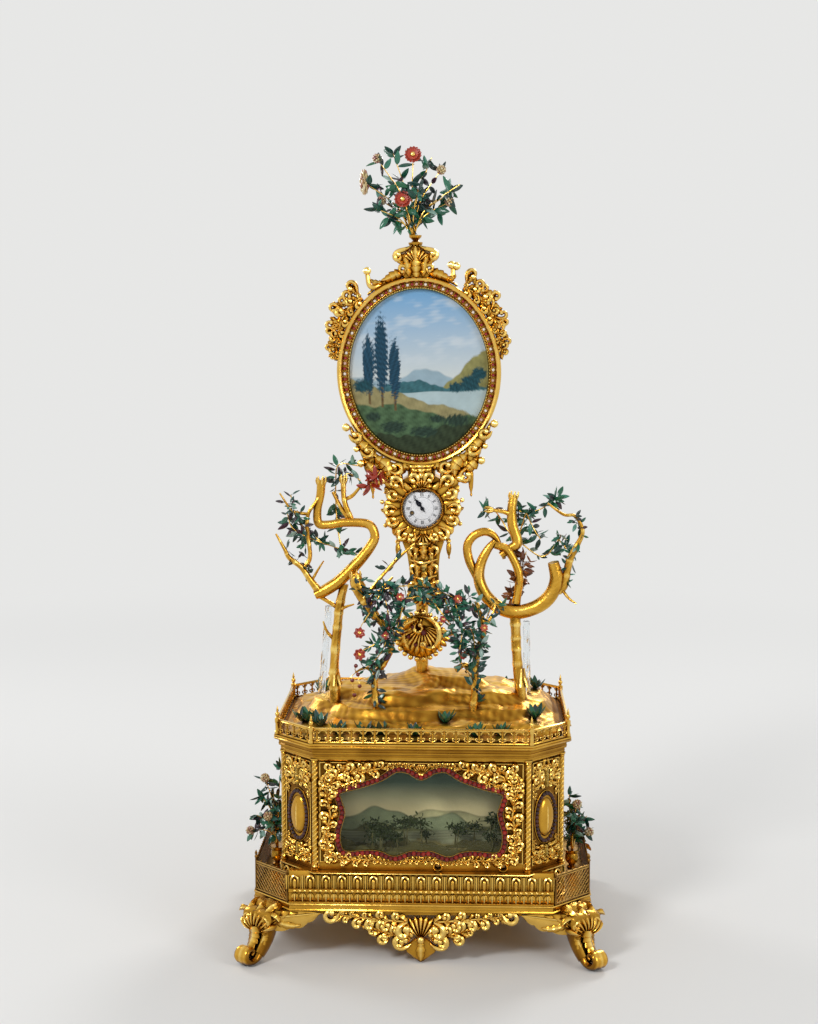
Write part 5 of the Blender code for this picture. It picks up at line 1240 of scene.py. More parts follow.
# Mound on the deck
def mound():
    """Rocky hill: a broad hump of powers of x and y, cut into ledges by rounding its height down, with low
    boulders where two sines meet; columns of points closed underneath. Tufts of leaves stand on it."""
    half_x, half_y, corner = 150, 118, 38
    low = DECK + 0.3
    x, v = np.meshgrid(np.linspace(-half_x, half_x, 230), np.linspace(-1, 1, 150), indexing="ij")
    reach = half_y - np.maximum(0, np.abs(x) - (half_x - corner))
    y = reach * v
    hump = np.clip((1 - np.abs((x - 10) / 160) ** 2.2) * (1 - (y / 97) ** 2), 0, None)
    warp = 5 * np.sin(x / 26 + y / 19) + 3.4 * np.sin(y / 11 - x / 43) + 0.8 * np.sin(x / 13 + y / 15)
    level = 47 * hump + 2.6 * np.sin(x / 19) * np.cos(y / 17) + 0.5 * warp
    step = 13
    part = level / step
    ledge = step * (np.floor(part) + np.clip((part - np.floor(part)) * 2, 0, 1) ** 1.6)
    boulder = 2.6 * np.clip(np.sin((x + warp) / 10.5 + 1.3 * np.sin(y / 13))
                            * np.sin((y - warp) / 8.5 + x / 60), 0, 1)
    fine = 0.35 * np.sin(x / 2.6 + y / 4.1 + warp) * np.sin(y / 2.3 - x / 5)
    height = np.clip(0.4 * level + 0.6 * ledge + boulder * (0.5 + hump) + fine, 2.5, 54.5)
    edge = np.clip((1 - np.abs(v)) * 8, 0, 1) * np.clip((half_x - np.abs(x)) / 8, 0, 1)
    height = 2.0 + (height - 2.0) * (0.35 + 0.65 * edge)
    top = np.stack([x, y, low + height], -1)
    base = np.stack([x, y, np.full_like(x, low)], -1)[:, [-1, 0]]
    rings = np.concatenate([top, base], 1)
    slope = np.hypot(*np.gradient(height, axis=(0, 1)))
    # Painted light and shade: each ledge lighter towards its top, steep slopes darker, the underside
    # painted dark; boulders and fine waves shift it a little
    tone = np.clip(0.42 + 0.24 * (part - np.floor(part)) + 0.05 * boulder + 0.3 * fine - 0.09 * slope,
                   0.08, 1)
    tone = np.concatenate([tone, np.zeros((len(x), 2))], 1)
    piece("rocky_mound", [skin(rings, tone=tone)], ROCK_GILT, "gilt", ("mound",), sharp=60)
    chance = np.random.default_rng(8)
    spots = [(-44, -92), (-63, -93), (-8, -98), (25, -82), (57, -98), (-110, -84), (-124, -68),
             (-132, -56), (84, -92), (122, -66), (-90, -93), (-60, 90), (20, 92), (90, 84), (-118, 60),
             (126, 40)]
    tufts = []
    for spot_x, spot_y in spots:
        column = np.abs(x[:, 0] - spot_x).argmin()
        root = (spot_x, spot_y, low + height[column, np.abs(y[column] - spot_y).argmin()] - 0.4)
        for turn in full_turn(9) + chance.uniform(0, 1):
            way = unit(np.array([cos(turn), sin(turn), chance.uniform(0.6, 1.4)]))
            face = unit(np.cross(np.cross(way, (0, 0, 1)), way) + 1e-3)
            matrix = np.stack([way, face, np.cross(way, face)], -1)[None]
            tufts.append(copies(LEAFLET, [root], matrix, chance.uniform(12, 20),
                                tones=chance.uniform(0.2, 0.85, 1)))
    piece("mound_plants", tufts, LEAF_GLASS, "leaf_glass")


# Trees: limbs as (x, z) routes with radii and a depth, or a pair for both ends, as in the part
KNOT_PITCH = 17
SOCKET_FOOT = 237.8


def limb(points, radii, depth, scaly=0.03, cut_top=False):
    """Gilt limb: a round section whose radius is broken up by waves that run round and along it, with a
    knot at each pitch; a cut top ends in a ring of short leaves."""
    first, last = depth if isinstance(depth, tuple) else (depth, depth)
    points = np.asarray(points, float)
    depths = np.linspace(first, last, len(points))
    route = flowing(np.column_stack([points[:, 0], depths, points[:, 1]]), 9)
    radius = flowing(np.asarray(radii, float)[:, None], 9)[:, 0]
    length = np.linalg.norm(np.diff(route, axis=0), axis=1).sum()
    sides = 20 if max(radii) > 3 else 10
    turn = full_turn(sides)
    t = np.linspace(0, 1, len(route))[:, None]
    knots = np.exp(-(((t * length / KNOT_PITCH) % 1 - 0.5) / 0.07) ** 2) if scaly > 0.025 else 0
    waves = 1 + scaly * (np.sin(t * length / 1.6 + 3 * turn) * np.cos(4 * turn + t * length / 2.4)
                         + 0.8 * np.sin(t * length / 6 + 2 * turn) + 0.6 * np.cos(5 * turn) + 3.6 * knots)
    form = swept(route, radius, radius, round_section(1, sides), facing=(0.1, -1, 0.05),
                 ripple=lambda along, profile: waves)
    # Painted light and shade: the bumps and knots of the bark are lighter, the dips darker
    form.tone = (0.55 + 4.0 * (waves - 1)).reshape(-1)
    forms = [form]
    if cut_top:
        way = unit(route[-1] - route[-3])
        side = unit(np.cross(way, (0, 1, 0)))
        other = np.cross(way, side)
        for k in range(7):
            spread_way = side * cos(tau * k / 7) + other * sin(tau * k / 7)
            root = route[-1] - way * 5 + spread_way * radius[-1] * 0.75
            tip = root + way * (7.5 + 1.8 * (k % 2)) + spread_way * 1.6
            forms.append(
                swept([root, (root + tip) / 2 + spread_way * 0.7, tip], [1.5, 1.3, 0.4], [0.9, 0.8, 0.3]))
    return together(forms)


def roots(x, y, radius):
    """Short buttress roots round the foot of a trunk."""
    forms = []
    for k in range(6):
        turn = tau * k / 6 + 0.4
        way = np.array([cos(turn), sin(turn), 0])
        route = flowing([np.array([x, y, 300 - 8 * (k % 2)]) + way * radius * 0.6,
                         np.array([x, y, 288]) + way * radius * 0.95,
                         np.array([x, y, 280]) + way * radius * 1.5], 4)
        forms.append(swept(route, [1.2, 1.8, 1.4]))
    return forms


def trees():
    """Each tree as one cast piece: trunk, then its limbs and twigs, then its roots."""
    gold("tree_left_cast", [
        limb([(-98, SOCKET_FOOT), (-98, 266), (-98.7, 300), (-95, 345), (-92, 371), (-87, 393)],
             (6.4, 6.2, 5.2, 5, 5, 4.6), TREE_DEPTH, 0.035),
        limb([(-119, 381), (-108, 386), (-92, 397), (-72, 417), (-58, 435), (-53.5, 447), (-61, 459),
              (-86, 460.5), (-104, 458), (-115, 459.5), (-116.4, 474), (-113, 491), (-112, 507)],
             (5, 6.6, 6.6, 6.2, 5.6, 5, 5, 4.8, 4.8, 4.8, 4.6, 4.6, 5), (-38, -30), 0.012, True),
        limb([(-78, 461), (-85, 477), (-88, 491), (-88, 508)], (3.2, 3, 2.8, 2.8), (-32, -26),
             cut_top=True),
        limb([(-87, 485), (-78, 490), (-70, 499)], (2.2, 2, 1.6), (-28, -34)),
        limb([(-79, 460), (-90, 475), (-100, 493)], (2.6, 2.4, 1.8), (-32, -24)),
        limb([(-113, 383), (-123, 397), (-133, 412), (-146, 423), (-151, 433), (-160, 450)],
             (4.5, 3.6, 3, 2.6, 2, 1), (-38, -50)),
        limb([(-131, 411), (-124, 424), (-127, 453), (-126, 470), (-118, 483), (-113, 490)],
             (2.6, 2.4, 2.2, 2, 1.8, 1.8), (-42, -33)),
        limb([(-126, 470), (-137, 472), (-145, 477), (-156, 494)], (1.8, 1.6, 1.4, 0.8), (-37, -46)),
        limb([(-123, 396), (-115, 410), (-108, 421)], (1.6, 1.3, 0.8), (-40, -54)),
        limb([(-94, 366), (-104, 373), (-118, 382)], (2.4, 2.2, 2.4), (-34, -38)),
        limb([(-95, 362), (-86, 368), (-76, 372)], (2, 1.6, 0.9), (-34, -44)),
        limb([(-98, 330), (-106, 340), (-110, 352)], (2, 1.6, 0.9), (-34, -40)),
        *roots(-98, TREE_DEPTH, 5.2)], ("tree_left",), material=TREE_GILT)
    big_ring = [(141, 419), (144.5, 401), (139, 383), (125, 370), (104.5, 363), (83.5, 367), (68, 380.5),
                (60.5, 398), (62.5, 416), (70, 431), (78, 440)]
    gold("tree_right_cast", [
        limb([(107, SOCKET_FOOT), (107, 268), (102.5, 310), (101, 334), (100, 362)],
             (6.4, 6.2, 5.4, 5.4, 6), TREE_DEPTH, 0.035),
        limb(big_ring, (6.2, 7.4, 7.8, 7.8, 7.8, 7.4, 7, 6.4, 5.6, 4.6, 3.6), (-40, -26), 0.02),
        limb([(66, 385), (56, 405), (49.5, 419), (47.5, 434), (54, 445), (66, 450), (77, 445), (84, 432),
              (88, 420)], (4.8, 5, 5, 4.8, 4.8, 4.6, 3.8, 2.8, 2), (-26, -22), 0.014),
        limb([(84, 424), (94, 431), (102, 438), (97, 456), (96, 474), (98, 490)],
             (4, 5, 6, 5.6, 5.4, 4.6), (-26, -18), 0.014, True),
        limb([(96, 468), (87, 472), (70, 475)], (2.6, 2.4, 1.8), (-20, -28), cut_top=True),
        limb([(78, 436), (92, 430), (104, 404), (101, 372)], (4.2, 4.6, 4.6, 5), (-27, -32), 0.02),
        limb([(140, 384), (152, 392), (156, 410), (159, 423), (166, 437), (172, 452), (168, 465),
              (162, 471), (151, 472), (134, 484)], (4, 4.8, 4.4, 4, 3.2, 2.4, 2, 1.8, 1.6, 1),
             (-36, -46)),
        limb([(150, 390), (158, 380), (166, 375)], (1.8, 1.4, 0.8), (-38, -48)),
        *roots(107, TREE_DEPTH, 5.4)], ("tree_right",), material=TREE_GILT)
    gold("front_tree_left_cast", [
        limb([(-50, SOCKET_FOOT), (-50.5, 262), (-52.5, 294), (-42, 311), (-34.6, 328), (-37, 345),
              (-50, 361), (-63, 380), (-71, 397), (-73, 408)],
             (5.2, 5, 3.6, 3.4, 3.4, 3.4, 4, 6.5, 7.4, 6), FRONT_TREE_DEPTH, cut_top=True),
        limb([(-46, 357), (-54, 375), (-45, 391), (-33, 404)], (2.6, 2, 1.8, 1.2), (-62, -54)),
        limb([(-62, 384), (-46, 404), (-28, 424), (-9, 441)], (2.2, 2, 1.8, 1.2), (-62, -52)),
        limb([(-51, 300), (-62, 306), (-73, 302)], (1.8, 1.5, 1), (-62, -70))],
         ("front_tree_left",), material=TREE_GILT)
    gold("front_tree_right_cast", [
        limb([(54.5, SOCKET_FOOT), (55, 262), (56.5, 282), (56.5, 306), (59.6, 326), (65, 342), (64, 359),
              (57, 375)], (5.2, 5, 4.2, 4.2, 3.8, 3.4, 3, 2.2), FRONT_TREE_DEPTH, 0.035, True),
        limb([(56.5, 300), (46, 310), (35, 305.5)], (2.8, 2.6, 3.4), (-62, -68)),
        limb([(58, 318), (46, 326), (36, 340), (29, 354)], (2.4, 2, 1.7, 1.2), (-62, -70)),
        limb([(64, 350), (74, 362), (78, 374)], (2, 1.6, 1), (-62, -54))],
         ("front_tree_right",), material=TREE_GILT)


# Sprays of glass leaves: the wires of each
LEAF_ROUTES = {
    "left": [[(-72, -28, 418), (-76, -16, 424), (-92, -12, 428), (-114, -14, 436), (-136, -22, 446)],
             [(-92, -12, 428), (-97, -8, 460), (-98, -8, 500), (-94, -12, 522), (-72, -14, 521)],
             [(-114, -14, 436), (-140, -18, 462), (-146, -26, 490)],
             [(-98, -8, 500), (-84, -12, 512), (-70, -16, 505)],
             [(-136, -22, 446), (-146, -24, 455), (-150, -26, 470)]],
    "right": [[(97, -12.3, 474), (112, -8, 470), (128, -12, 474), (146, -20, 488)],
              [(112, -8, 470), (100, -2, 440), (78, -4, 470), (62, -10, 470)],
              [(100, -2, 440), (130, -4, 420), (148, -12, 440), (150, -16, 446)],
              [(148, -12, 440), (158, -20, 428), (162, -24, 415)],
              [(112, -8, 470), (120, -6, 452), (128, -8, 440)]],
    "centre": [[(-64, -70.4, 384), (-44, -71.5, 392), (-20, -73, 384), (6, -73, 388), (30, -72, 382),
                (51, -67, 374)],
               [(-20, -73, 384), (-24, -72, 366), (-40, -74, 342), (-58, -74, 330)],
               [(6, -73, 388), (18, -76, 372), (30, -74, 356)],
               [(-44, -71.5, 392), (-52, -74, 376), (-62, -74, 360)]],
}


# Rows of leaves on wires of their own, then rows along the limbs: points, count and length of leaf
TWIG_LEAVES = (
    ([(-54, -70, 390), (-24, -72, 397), (8, -72, 395), (44, -70, 380)], 120, 11),
    ([(-42, -72, 391), (-36, -74, 356), (-44, -74, 326), (-62, -70, 306)], 76, 10),
    ([(-21, -73, 383), (-24, -74, 364), (-30, -74, 350), (-46, -74, 344)], 44, 10),
    ([(34, -72, 382), (42, -74, 350), (40, -74, 320), (52, -68, 298)], 74, 10),
    ([(24, -72, 383), (34, -72, 360), (52, -73, 350), (57, -68, 322)], 60, 10),
    ([(66, -60, 354), (76, -50, 374), (84, -44, 366)], 14, 11))
LIMB_LEAVES = (
    ([(-50, -64, 262), (-52.5, -66, 296), (-38, -66, 322), (-36, -66, 345), (-56, -66, 368),
      (-70, -66, 400)], 90, 11),
    ([(-62, -64, 384), (-46, -60, 404), (-28, -56, 424)], 12, 11),
    ([(55, -64, 262), (56.5, -66, 300), (62, -68, 336), (60, -68, 368), (48, -70, 388)], 84, 11),
    ([(58, -66, 318), (40, -70, 336), (30, -72, 356)], 36, 10),
    ([(-126, -38, 404), (-129, -40, 440), (-134, -42, 468), (-152, -44, 486)], 40, 9),
    ([(-132, -42, 414), (-152, -46, 436)], 8, 9),
    ([(152, -39, 392), (158.5, -41, 421), (171, -43.5, 451), (161, -45, 471)], 34, 9))
# Thin stalks that hold the outer flowers and berries
STALKS = ([(-62, -74, 360), (-66, -73, 354), (-68, -74, 346)],
          [(-58, -74, 330), (-64, -73, 327), (-68, -74, 323)],
          [(-72, -69.5, 302), (-73, -73, 306), (-72, -74, 310)],
          [(-72, -69.5, 302), (-70, -72, 300), (-68, -75, 288)],
          [(-72, -69.5, 302), (-77, -73, 297), (-75, -74, 286), (-74, -70, 277)])


def sprays():
    """Three sprays of glass leaves on wires, rows of leaves along twigs and limbs, flowers and berries."""
    chance = np.random.default_rng(21)
    for name, count, size in (("left", 38, 12.5), ("right", 40, 12.5), ("centre", 48, 11)):
        wires, leaves = [], []
        for index, points in enumerate(LEAF_ROUTES[name]):
            route = flowing(points)
            wires.append(swept(route, [0.85, 0.6]))
            share = count if index < 2 else count // 2
            leaves.append(leaves_along(route, share, chance, size, 6.0))
        piece(f"glass_leaves_{name}", leaves, LEAF_GLASS, "leaf_glass", (f"leaves_{name}",))
        gold(f"leaf_wires_{name}", wires, material=TREE_GILT)
    more = [leaves_along(flowing(points), count, chance, size, 16.0)
            for points, count, size in TWIG_LEAVES + LIMB_LEAVES]
    piece("glass_leaves_on_twigs", more, LEAF_GLASS, "leaf_glass")
    twigs = [swept(flowing(points), [0.7, 0.5]) for points, *_ in TWIG_LEAVES]
    red_route = [(-66, -30, 493), (-57, -34, 504), (-46, -36, 518)]
    frond = [(98, -24, 372), (102, -22, 392), (108, -22, 414), (112, -22, 428)]
    twigs += [swept(flowing(points), [0.8, 0.5]) for points in (red_route, [(101, -31, 364), *frond])]
    twigs += [swept(flowing(points, 6), 0.45) for points in STALKS]
    gold("leaf_twigs", twigs, material=TREE_GILT)
    petals, buttons = [], []
    flowers = (((-24, -76, 386), 5), ((38, -75, 384), 5), ((-40, -77, 344), 5), ((-68, -75, 323), 7),
               ((66, -72, 352), 4.5), ((44, -75, 322), 4.5), ((-68, -75, 346), 6.6), ((22, -76, 362), 4.5))
    for centre, radius in flowers:
        heads, button = flower(centre, radius, (chance.uniform(-0.3, 0.3), -1, chance.uniform(0, 0.5)), 7,
                               chance.uniform(0.1, 0.6))
        petals += heads
        buttons.append(button)
    red_leaves = leaves_along(flowing(red_route, 6), 26, chance, 14, 3)
    piece("tree_flowers", [*petals, red_leaves.toned(0.3)], FLOWER, "red_stone")
    red = pearls([(-72, -74, 310), (-70, -72, 300), (-68, -75, 288), (-76, -74, 294), (-74, -70, 277),
                  (-36, -78, 352), (26, -78, 371)], 2.3, 0.5)
    piece("tree_berries", [red], RED_STONE, "red_stone")
    gold("flower_buttons", buttons)
    fan = leaves_along(flowing(frond), 80, chance, 12, 16.0)
    piece("russet_leaves", [fan], RUSSET, "red_stone")


# Glass rods
ROD_RADIUS, ROD_LOBES, ROD_TWIST = 3.5, 5, 30


def rods():
    """Twisted clear rods: five lobes whose angle turns with the height along the rod."""
    for name, low_end, high_end in (("left", (-115.2, 0, 269), (-106.8, 0, 362)),
                                    ("right", (114.6, 0, 272), (113.4, 0, 346))):
        low_end, high_end = np.array(low_end, float), np.array(high_end, float)
        way = unit(high_end - low_end)
        start = low_end - way * 12
        side = unit(np.cross((0, 1, 0), way))
        t = np.arange(0, np.linalg.norm(high_end - start) + 0.5, 0.8)[:, None]
        turn = full_turn(40)[None]
        r = ROD_RADIUS * (1 + 0.17 * np.cos(ROD_LOBES * turn - t * tau / ROD_TWIST))
        sideways, back = (r * np.cos(turn))[..., None] * side, (r * np.sin(turn))[..., None] * (0, 1, 0)
        rings = start + t[..., None] * way + sideways + back
        piece(f"twisted_rod_{name}", [skin(rings, tone=0.5)], CLEAR, "clear_glass", (f"glass_rod_{name}",),
              body=f"rod_{name}", sharp=80)


# Pendulum, made upright about its pivot
def pendulum():
    """Shell bob with red stones, edged with beads, on a flat rod with an eye."""
    pivot = np.array([-4.6, -5, 446.6])
    drop = 116.5
    turn = full_turn(96)
    steps = ((23, 2.4), (24.4, 1.6), (24.4, -1.4), (23, -2.6))
    disc = skin(np.stack([upright(on_oval(turn, r, r, -drop), y) for r, y in steps]), tone=0.7)
    rim = pearls(upright(on_oval(full_turn(22), 26.2, 26.2, -drop), -2), 3.2, 1.0)
    fan = [shell((2, 13 - drop), 36.5, 194, 348, 13, -2.8, 3.2, 0.05),
           shell((-3, 8 - drop), 14, 60, 200, 7, -2.8, 3)]
    frame_scrolls = [
        *scroll((0, 23 - drop), 4, 62, [0, -40, -84, -130, -230], 3.4, -4.2, 4.6, 1.4),
        acanthus((-2, 20 - drop), 196, 30, [0, 20, 60], 5.6, -4.6, 5, 4),
        acanthus((-17, 4 - drop), 262, 22, [0, 20, 50], 4.6, -4.6, 4, 3.6),
        *scroll((-4, 16 - drop), 230, 26, [0, 30, 100, 190, 270], 2.4, -5, 3.6)]
    rod = box((-1.1, -0.8, -drop + 14), (1.1, 0.8, -3), 0.6)
    eye = ring(round_section(1.0), (2.7, 2.7), (0, 0, 0), 24, 0.7)
    collar = turned([(0.05, -drop + 24), (3.2, -drop + 24.6), (2.0, -drop + 27), (3.0, -drop + 29),
                     (0.05, -drop + 31)], 16)
    bob = [disc, rim, *fan, *frame_scrolls, rod, eye, collar]
    gold("shell_bob", [form.placed(shift=pivot) for form in bob], ("pendulum",), body="pendulum")
    groups = (([(4, 5)], -7.4, 3.8), ([(-13, 0), (-5, -9), (7, -11), (-8, 11)], -6.8, 2.3))
    stones = [copies(STONE, upright(places, y), FACE_FRONT, radius).placed(shift=pivot - (0, 0, drop))
              for places, y, radius in groups]
    piece("bob_stones", stones, RED_STONE, "red_stone", body="pendulum")


# Oval frame's outer edge, which the case's brackets and the cresting follow
def rim_route(start, end, offset, count=9):
    """Points beside the oval frame's outer edge between two angles, in degrees, an offset away."""
    turn = np.radians(np.linspace(start, end, count))
    out = spread(offset, count)
    return on_oval(turn, OVAL_RING[0] + out, OVAL_RING[1] + out, OVAL_HEIGHT)


# Everything that hangs on the leaning waist; heights count from the waist
def case_forms():
    """Rocaille shield round the dial, the ribbed neck above it and the ribbed waist under it."""
    half = [(0, 90), (14, 92), (28, 97), (41, 100), (43, 90), (40, 79), (42.6, 66), (40, 52), (36, 40),
            (27, 30), (16, 25), (0, 23)]
    outline = smooth_outline(two_halves(half), 3)
    # Painted shade: the back plate behind the rocaille has a low tone
    back = slab(outline * (0.94, 1), -15.4, -13.2, 1.6, 0.3)
    centre, count = (0, DIAL_HEIGHT), 73
    turn = np.linspace(-pi, pi, count)
    inner = on_oval(turn, 21, 21, DIAL_HEIGHT)
    outer = polar(outline, centre, count - 1)
    rays = leaf_plate(inner, np.vstack([outer, outer[:1]]), 22, -15.6, 4.2)
    neck = fluted([(17, 82), (13.4, 88), (12.6, 97), (14, 106), (19, 112)], -13.8, 7.0, 3, 6)
    waist = fluted([(12, 30), (13.6, 22), (14.4, 12), (12.6, 0), (12, -12), (15, -22), (18.5, -30),
                    (17, -36)], -13.6, 5.6, 3, 8)
    forms = []
    round_dial = ((78, 26, 26, -1), (48, 30, 34, -1), (24, 27, 28, 1), (0, 27, 28, -1), (-24, 27, 28, 1),
                  (-50, 27, 30, -1), (-70, 27, 22, 1))
    for turn, out, length, way in round_dial:
        spot = on_oval(radians(turn), out, out, DIAL_HEIGHT)
        forms += scroll(spot, turn - way * 40, length, way * CASE_CURL, 2.7, -18.4, 4)
        forms.append(acanthus(spot, turn + way * 24, length * 0.7, way * np.array([0, -20, -60]), 4.4,
                              -18, 4, 3.6))
    for height, half in ((17, 12.6), (-3, 11.6), (-22, 14)):
        forms.append(acanthus((half * 0.55, height - 8), 84, 17, [0, 0, -30], 4.4, -17.6, 3, 4.2))
        forms += scroll((half - 1, height - 6), 30, 24, [0, 40, 120, 200, 280], 2.4, -16.4, 3)
    middle = [shell((0, 86), 12, 40, 140, 5, -19, 3.4), shell((0, 38), 16, 215, 325, 5, -18, 4.2),
              shell((0, -24), 22, 196, 344, 9, -17.4, 4.4),
              acanthus((0, 8), 90, 20, [0, 0], 5, -19, 4, 4),
              acanthus((0, -8), -90, 18, [0, 0], 5, -19, 4, 4)]
    for height, half in ((26, 14.6), (5, 15), (-13, 13.4), (-30, 19)):
        bow = [(-half, -13.6, height + 1.6), (0, -20.4, height - 1.2), (half, -13.6, height + 1.6)]
        middle.append(swept(flowing(bow), [1.2, 1.9, 1.2]))
    drop = turned([(0.05, 0), (1.2, 1.5), (0.8, 3.5), (2.3, 7), (3.0, 12), (2.6, 16), (1.4, 19),
                   (2.0, 21), (0.05, 22)], 12, (28, -17, 7))
    tall_drop = turned([(0.05, 0), (1.4, 2), (0.9, 5), (2.2, 10), (3.0, 18), (3.2, 26), (2.2, 31),
                        (1.4, 34), (2.4, 38), (0.05, 41)], 14, (54, -13, 75))
    bracket = [leaf_plate(rim_route(-33, -80, 0.5), rim_route(-33, -80, [3, 8, 12, 17, 21, 18, 8]), 9,
                          -10.6, 5.4),
               acanthus((70, 143), 236, 34, [0, -10, -30], 7, -14.6, 5, 5.4),
               acanthus((50, 121), 212, 34, [0, 10, 50, 100], 8, -15.6, 5, 6),
               acanthus((62, 121), 250, 26, [0, -20, -70], 6.6, -14.6, 4, 5),
               acanthus((26, 108), 160, 18, [0, 20, 60], 5, -14.6, 4, 4)]
    for x, z, heading, length, way in ((78, 147, 246, 26, -1), (66, 130, 250, 28, -1),
                                       (52, 108, 200, 32, 1), (38, 110, 236, 34, -1),
                                       (24, 106, 250, 26, 1)):
        bracket += scroll((x, z), heading, length, way * CASE_CURL, 2.9, -15.4, 4.6)
    balls = [((81, 155), 4.6), ((66, 115), 4.4), ((70.4, 130.8), 3.3), ((42, 96), 4.4), ((24, 98), 3.4),
             ((45, 98), 3.0), ((44, 72), 2.6), ((41, 46), 2.6), ((28, 27), 2.8)]
    tips = together([pearls([(x, -16.4, z)], radius, 1.0) for (x, z), radius in balls])
    return [back, rays, neck, waist, *middle, *both([*forms, *bracket, drop, tall_drop, tips])]


def crest_side(way, first, stem, ends):
    """One side of the cresting: a leaf beside the crown, a ball-ended stem and a thick cluster."""
    forms = [acanthus((10, 321), -6, 30, [0, -8, -20, 10], 6.6, -5, 5, 5),
             leaf_plate(rim_route(84, first + 4, 0.4), rim_route(84, first + 4, [7, 6.4, 4.6, 3]), 7,
                        -2.4, 3.2),
             swept(upright(flowing(stem, 6), -3), [2.0, 3.2, 3.2, 2.8, 2.4]),
             acanthus(stem[1], -10, 16, [0, 20, 70], 3.6, -5, 3, 3.4),
             leaf_plate(rim_route(first, 8, 0.4), rim_route(first, 8, [9, 11, 10, 8, 6, 4]), 12,
                        -2.4, 3.6),
             *foliage(rim_route(first, 9, [4, 7, 8, 6, 4, 3]), ([6, 9, 10, 8, 6, 5], [8, 9, 8, 7, 6]),
                      -5.2, 1, 0.8, 0.26)]
    cluster = ((0, 9, 27, 16, -1), (0.14, 13, 20, -46, -1), (0.24, 11, 24, 34, 1), (0.36, 12, 23, 2, -1),
               (0.48, 9, 20, 44, 1), (0.58, 8, 22, -34, 1), (0.69, 7, 19, 12, -1), (0.79, 6, 17, 40, 1),
               (0.89, 5, 16, -8, -1), (1, 3, 14, 20, 1))
    for share, out, length, lean, curl in cluster:
        turn = first + (12 - first) * share
        spot = rim_route(turn, turn, out, 1)[0]
        forms += scroll(spot, turn + lean, length, curl * np.array([0, -14, 24, 110, 215]),
                        length * 0.05 + 0.9, -6.4, length * 0.08 + 1.6, 1.5)
        forms.append(acanthus(spot, turn - lean, length * 0.62, -curl * np.array([0, 10, 50]),
                              length * 0.17, -5.4, 4, length * 0.12))
    forms += [pearls([(x, -4, z)], 4.6, 1.0) for x, z in ends]
    return [form.placed(scale=(way, 1, 1)) for form in forms]


def dial_forms():
    """Enamel disc with a hole for the key, hour strokes and minute dots laid on it."""
    mark_depth = -18.45
    face = turned([(0.05, 0), (DIAL_RADIUS - 1.2, 0), (DIAL_RADIUS, -0.9), (DIAL_RADIUS, -1.4),
                   (0.05, -1.4)], 72, (0, -18.4, DIAL_HEIGHT), "y").toned(1.0)
    marks = []
    for hour in range(12):
        turn = tau * hour / 12
        way, across = np.array([sin(turn), cos(turn)]), np.array([cos(turn), -sin(turn)])
        triple = (-1.3, 0, 1.3) if hour < 6 else (-1.0, 0.3, 1.3)
        strokes = (-0.6, 0.6) if hour % 3 else triple
        for shift in strokes:
            ends = [way * r + across * shift for r in (13.4, 17.4)]
            stroke = upright(np.array(ends) + (0, DIAL_HEIGHT), mark_depth)
            marks.append(swept(stroke, 0.34, 0.12, round_section(1, 4)))
    minutes = tau * np.arange(60) / 60
    dots = upright(np.stack([18.9 * np.sin(minutes), DIAL_HEIGHT + 18.9 * np.cos(minutes)], -1), mark_depth)
    marks.append(pearls(dots, 0.3, 0.0, SMALL_PEARL))
    for radius in (12.4, 19.7):
        marks.append(ring(round_section(0.12, 4), (radius, radius), (0, mark_depth, DIAL_HEIGHT), 64))
    key = turned([(0.05, 0), (2.6, 0), (2.6, -0.3), (0.05, -0.3)], 20, (-11.3, -18.55, DIAL_HEIGHT - 4.6),
                 "y")
    return [face, *[form.toned(0.0) for form in marks], key.toned(0.0)]


def hand(outline, turn, y, thick):
    """Flat hand drawn pointing up, turned about the dial's centre."""
    c, s = cos(turn), sin(turn)
    points = np.asarray(outline, float) @ np.array([[c, -s], [s, c]]) + (0, DIAL_HEIGHT)
    return slab(points, y, y + thick, 0.12)


def clock_face():
    """Dial, both hands with their bosses, and the hinged bezel with its row of beads."""
    piece("enamel_dial", leaned(dial_forms()), ENAMEL, "enamel", ("dial",))
    hour = [(0.8, -1.5), (0.8, 3), (2.4, 5), (2.8, 7), (1.2, 8.6), (0.5, 9.2), (1.6, 10.4), (0.6, 11.2),
            (0, 13.2)]
    minute = [(0.7, -4.5), (0.6, 2), (0.6, 5), (1.9, 7.5), (1.9, 9), (0.6, 11), (1.1, 12.2), (0.4, 13),
              (0, 17.4)]
    for name, outline, turn, y in (("hour_hand", hour, -33, -19.8), ("minute_hand", minute, -36, -20.6)):
        shape = two_halves(np.array(outline)[::-1])
        boss = turned([(0.05, 0.9), (1.9, 0.7), (2.2, 0.3), (2.2, 0), (0.05, 0)], 20,
                      (0, y + 0.7, DIAL_HEIGHT), "y")
        piece(f"pierced_{name}", leaned([hand(shape, radians(turn), y, 0.6), boss]), STEEL, "blued_steel",
              (name,), body=name)
    bezel = [ring([(21.4, 19.5), (21.4, 21.4), (22.0, 22.2), (22.8, 22.3), (23.6, 21.5), (24.4, 19.6)],
                  (0, 0), (0, 0, DIAL_HEIGHT), 72, 0.3)]
    beads = upright(on_oval(full_turn(60), 22.7, 22.7, DIAL_HEIGHT), -22.1)
    bezel.append(pearls(beads, 0.75, 0.6, SMALL_PEARL))
    bezel.append(
        turned([(0.05, -3.4), (1.3, -3.2), (1.3, 3.2), (0.05, 3.4)], 12, (25.6, -20.8, DIAL_HEIGHT)))
    gold("beaded_bezel", leaned(bezel), ("dial_bezel",), body="bezel")


